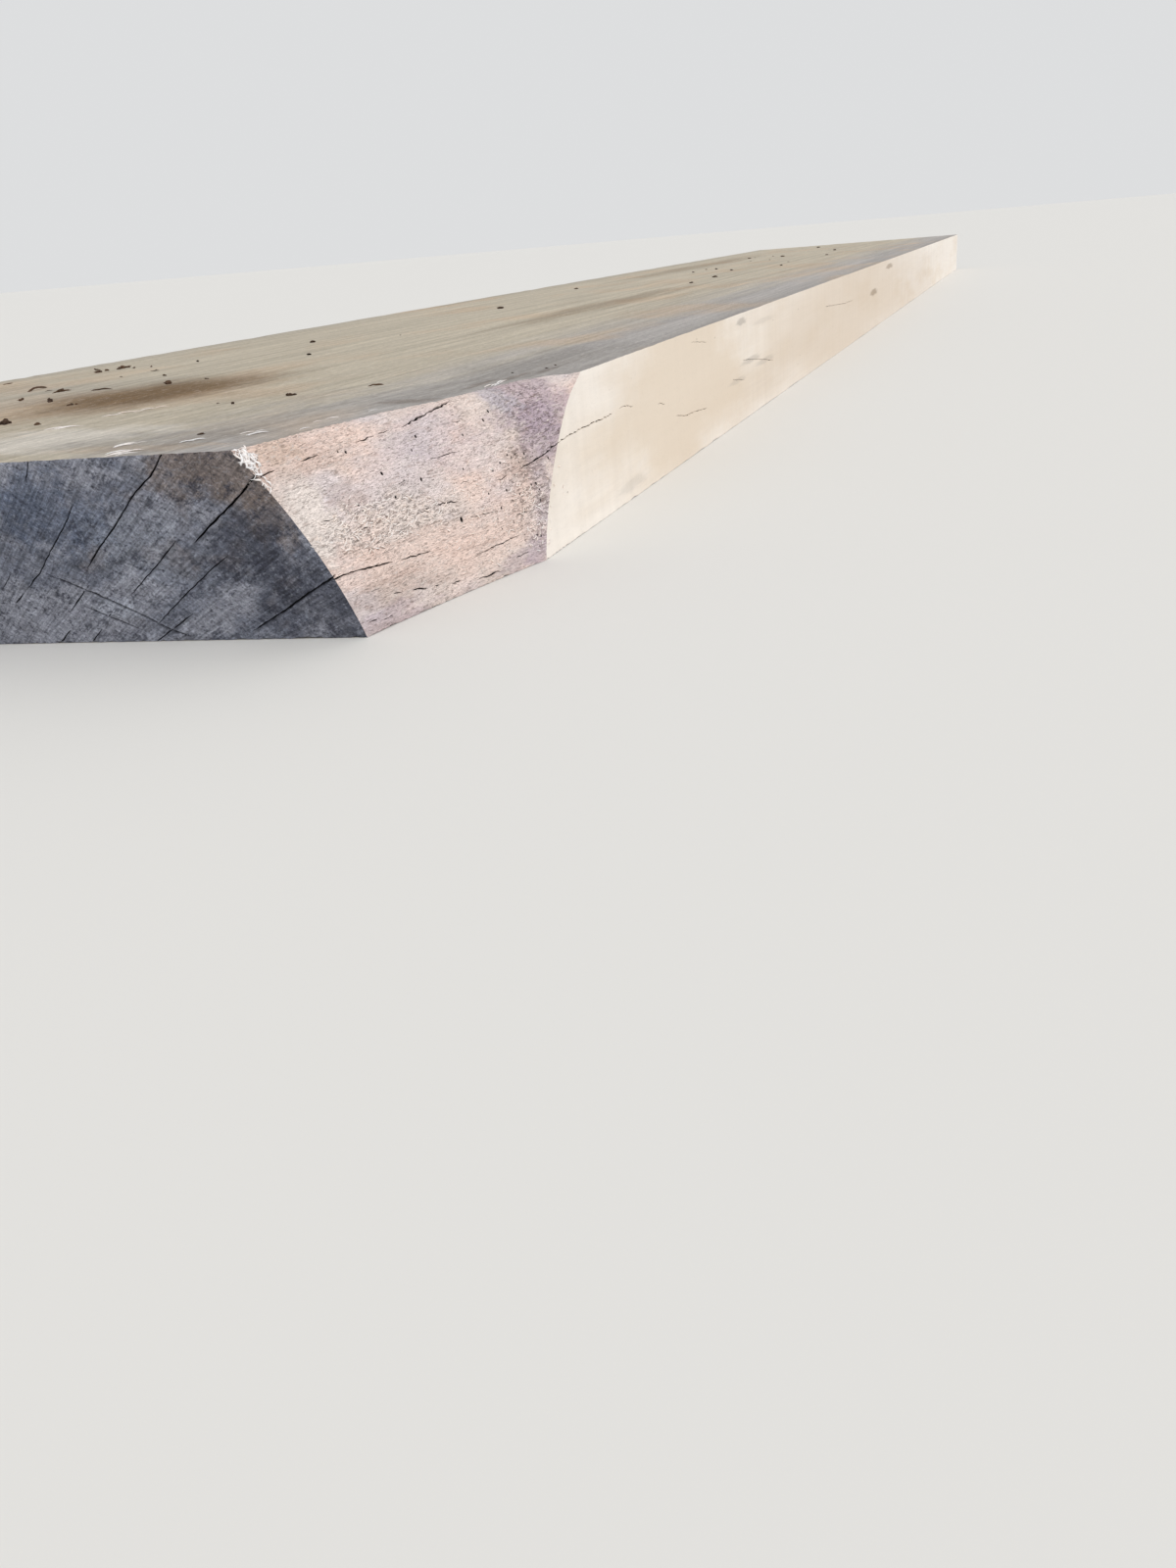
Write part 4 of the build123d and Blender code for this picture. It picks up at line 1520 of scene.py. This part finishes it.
CRUMBS = ((UPWARD, ALONG, on_top((
    (-60, 400, 280, 480, 42, 2.4, 1.4, 0.9, 0.0, 3.0, 3.1, 0.5),
    (-129, 339, 9, 5, 30000, 4.2, 2.4, 1.3, 0.0, 4.0, 3.1, 0.6),
    (-51, 316, 8, 5, 50000, 2.6, 1.4, 1.0, 0.0, 5.0, 3.1, 0.7),
    (-140, 243, 16, 7, 26000, 1.8, 1.2, 0.9, 0.0, 2.5, 3.1, 0.9),
    (-20, 101, 4, 3, 160000, 2.2, 1.6, 1.2, 0.0, 2.0, 3.1, 0.4),
    (14, 94, 20, 6, 6000, 1.3, 0.8, 0.6, 0.0, 1.5, 3.1, 1.0),
    (179, 23, 3, 3, 160000, 1.7, 0.7, 0.6, 0.0, 1.5, 0.9, 0.8),
    (131, 191, 3, 3, 160000, 1.8, 1.0, 0.7, 0.0, 1.5, 3.1, 0.6),
    (113, 153, 3, 3, 160000, 1.2, 0.9, 0.8, 0.0, 1.5, 3.1, 0.6),
    (-47, 192, 3, 3, 160000, 1.3, 1.0, 0.8, 0.0, 1.5, 3.1, 0.8),
    (-225, 484, 50, 22, 4000, 2.6, 1.3, 0.9, 0.0, 6.0, 3.1, 0.9),
    (262, 260, 40, 120, 600, 2.0, 1.2, 0.8, 0.0, 2.0, 3.1, 0.4),
    (-20, 2200, 280, 1400, 40, 3.6, 2.2, 1.1, 0.0, 3.0, 3.1, 0.5),
))),)
TWIGS = ((UPWARD, ALONG, on_top((
    (-150, 300, 160, 260, 130, 13.0, 0.8, 0.7, 0.6, 2.0, 3.1, 0.8),
    (-200, 320, 34, 30, 2500, 30.0, 1.1, 0.9, 1.5, 2.5, 0.7, 1.0),
    (100, 260, 160, 200, 60, 8.0, 0.7, 0.6, 0.6, 2.0, 3.1, 0.6),
))),)


def regions_of(scene, tree, beds):
    """The regions of one kind of bit, as its tree's inputs."""
    regions = []
    for facing, run, rows in beds:
        for x, s, z, wide, long, high, density, *sizes, turn, whiteness in rows:
            region = {
                "Centre": plank_place(scene, x, s, z), "Reach": (wide * MM, long * MM, high * MM),
                "Facing": facing, "Run": run, "Density": float(density), "Turn": turn, "Whiteness": whiteness,
                "Seed": scene.beech_shape.seed + len(regions),
            }
            for name, size in zip(("Length", "Breadth", "Thickness", "Rise", "Curl"), sizes):
                region[name] = size * MM
            regions.append((tree, region))
    return regions


# Operators

class BEECH_OT_plank(bpy.types.Operator):
    """Build the plank's skin with its wane, splits and beetle holes"""

    bl_idname = "beech.plank"
    bl_label = "Plank"

    def execute(self, context):
        mesh = plank_mesh(context.scene.beech_shape)
        piece = linked(context, "plank_skin", mesh)
        for write in (weathered_end, wane_skin, sawn_edge, sawn_face):
            mesh.materials.append(finish(context.scene, write))
        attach(piece, BODY)
        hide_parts(NODE)
        return {"FINISHED"}


class BEECH_OT_torn_fibres(bpy.types.Operator):
    """Add the torn fibres at the end's corner and on the wane, and the slivers lifted off the upper face"""

    bl_idname = "beech.torn_fibres"
    bl_label = "Torn fibres"

    def execute(self, context):
        scene = context.scene
        fibres = scatter_tree("torn_fibres", fibre_bit)
        scatter(context, "torn_fibres", finish(scene, loose_fibre), regions_of(scene, fibres, FIBRES))
        return {"FINISHED"}


class BEECH_OT_crumbs(bpy.types.Operator):
    """Strew crumbs of bark and bits of twig over the upper face"""

    bl_idname = "beech.crumbs"
    bl_label = "Crumbs"

    def execute(self, context):
        scene = context.scene
        crumbs, twigs = scatter_tree("bark_crumbs", crumb_bit), scatter_tree("twig_bits", fibre_bit)
        regions = regions_of(scene, crumbs, CRUMBS) + regions_of(scene, twigs, TWIGS)
        scatter(context, "bark_crumbs", finish(scene, bark_crumb), regions)
        return {"FINISHED"}


class BEECH_OT_studio(bpy.types.Operator):
    """Lay the floor, and set the lights and the camera"""

    bl_idname = "beech.studio"
    bl_label = "Studio"

    FLOOR_REACH, FLOOR_ROUGHNESS = 60.0, 0.9
    LONG_SIDE = 36.0  # of the camera's picture, in millimetres
    SUN_FROM = (0.62, -0.42, 0.66)
    SKY = (0.98, 0.99, 1.0, 1)

    def execute(self, context):
        scene = context.scene
        self.lay_floor(context)
        self.hang_sun(context)
        world = bpy.data.worlds.new("surround")
        world.use_nodes = True
        glow = world.node_tree.nodes["Background"]
        glow.inputs["Color"].default_value = self.SKY
        glow.inputs["Strength"].default_value = scene.beech_studio.sky
        scene.world = world
        scene.view_settings.view_transform = "Standard"
        self.stand_camera(context)
        return {"FINISHED"}

    def lay_floor(self, context):
        """A wide pale floor under the plank."""
        reach, ways = self.FLOOR_REACH, ((-1, -1), (1, -1), (1, 1), (-1, 1))
        mesh = bpy.data.meshes.new("floor")
        mesh.from_pydata([(x * reach, y * reach, 0) for x, y in ways], [], [(0, 1, 2, 3)])
        floor = linked(context, "floor", mesh)
        material, surface = new_material("floor")
        surface.inputs["Base Color"].default_value = (*context.scene.beech_colours.floor, 1)
        surface.inputs["Roughness"].default_value = self.FLOOR_ROUGHNESS
        mesh.materials.append(material)

    def hang_sun(self, context):
        """A wide soft light from the right, the front and above."""
        studio = context.scene.beech_studio
        light = bpy.data.lights.new("soft_sun", "SUN")
        light.energy, light.angle = studio.sun, studio.sun_width
        lamp = linked(context, "soft_sun", light)
        lamp.matrix_world = Vector(self.SUN_FROM).to_track_quat("Z", "Y").to_matrix().to_4x4()

    def stand_camera(self, context):
        """The camera at its stand, turned, tilted down and rolled."""
        scene, studio = context.scene, context.scene.beech_studio
        lens = bpy.data.cameras.new("camera")
        lens.sensor_fit, lens.sensor_width, lens.lens = "AUTO", self.LONG_SIDE, studio.focal_mm
        camera = linked(context, "camera", lens)
        corner_y = FAR_Y - scene.beech_shape.length
        stand = Vector((HALF_WIDTH + studio.stand_x, corner_y + studio.stand_s, studio.stand_z))
        turn = Matrix.Rotation(studio.yaw, 4, "Z") @ Matrix.Rotation(math.pi / 2 - studio.pitch, 4, "X")
        camera.matrix_world = Matrix.Translation(stand) @ turn @ Matrix.Rotation(-studio.roll, 4, "Z")
        scene.camera = camera


class BEECH_PT_panel(bpy.types.Panel):
    """Settings and steps of the plank."""

    bl_label = "Beech Plank"
    bl_space_type = "VIEW_3D"
    bl_region_type = "UI"
    bl_category = "Beech Plank"

    def draw(self, context):
        for group in (getattr(context.scene, name) for name in GROUPS):
            column = self.layout.column(align=True)
            for name in group.__annotations__:
                column.prop(group, name)
        for step in STEPS:
            self.layout.operator(step.bl_idname)


GROUPS = {"beech_shape": PlankShape, "beech_colours": PlankColours, "beech_studio": StudioSettings}
STEPS = (BEECH_OT_plank, BEECH_OT_torn_fibres, BEECH_OT_crumbs, BEECH_OT_studio)
KINDS = (*GROUPS.values(), *STEPS, BEECH_PT_panel)


def register():
    """Makes the settings, the steps and the panel known to Blender."""
    for kind in KINDS:
        bpy.utils.register_class(kind)
    for name, kind in GROUPS.items():
        setattr(bpy.types.Scene, name, PointerProperty(type=kind))


def unregister():
    """Takes them out again."""
    for name in GROUPS:
        delattr(bpy.types.Scene, name)
    for kind in reversed(KINDS):
        bpy.utils.unregister_class(kind)


def main():
    """Builds the plank and its studio."""
    register()
    for step in STEPS:
        family, name = step.bl_idname.split(".")
        getattr(getattr(bpy.ops, family), name)()


if __name__ == "__main__":
    main()
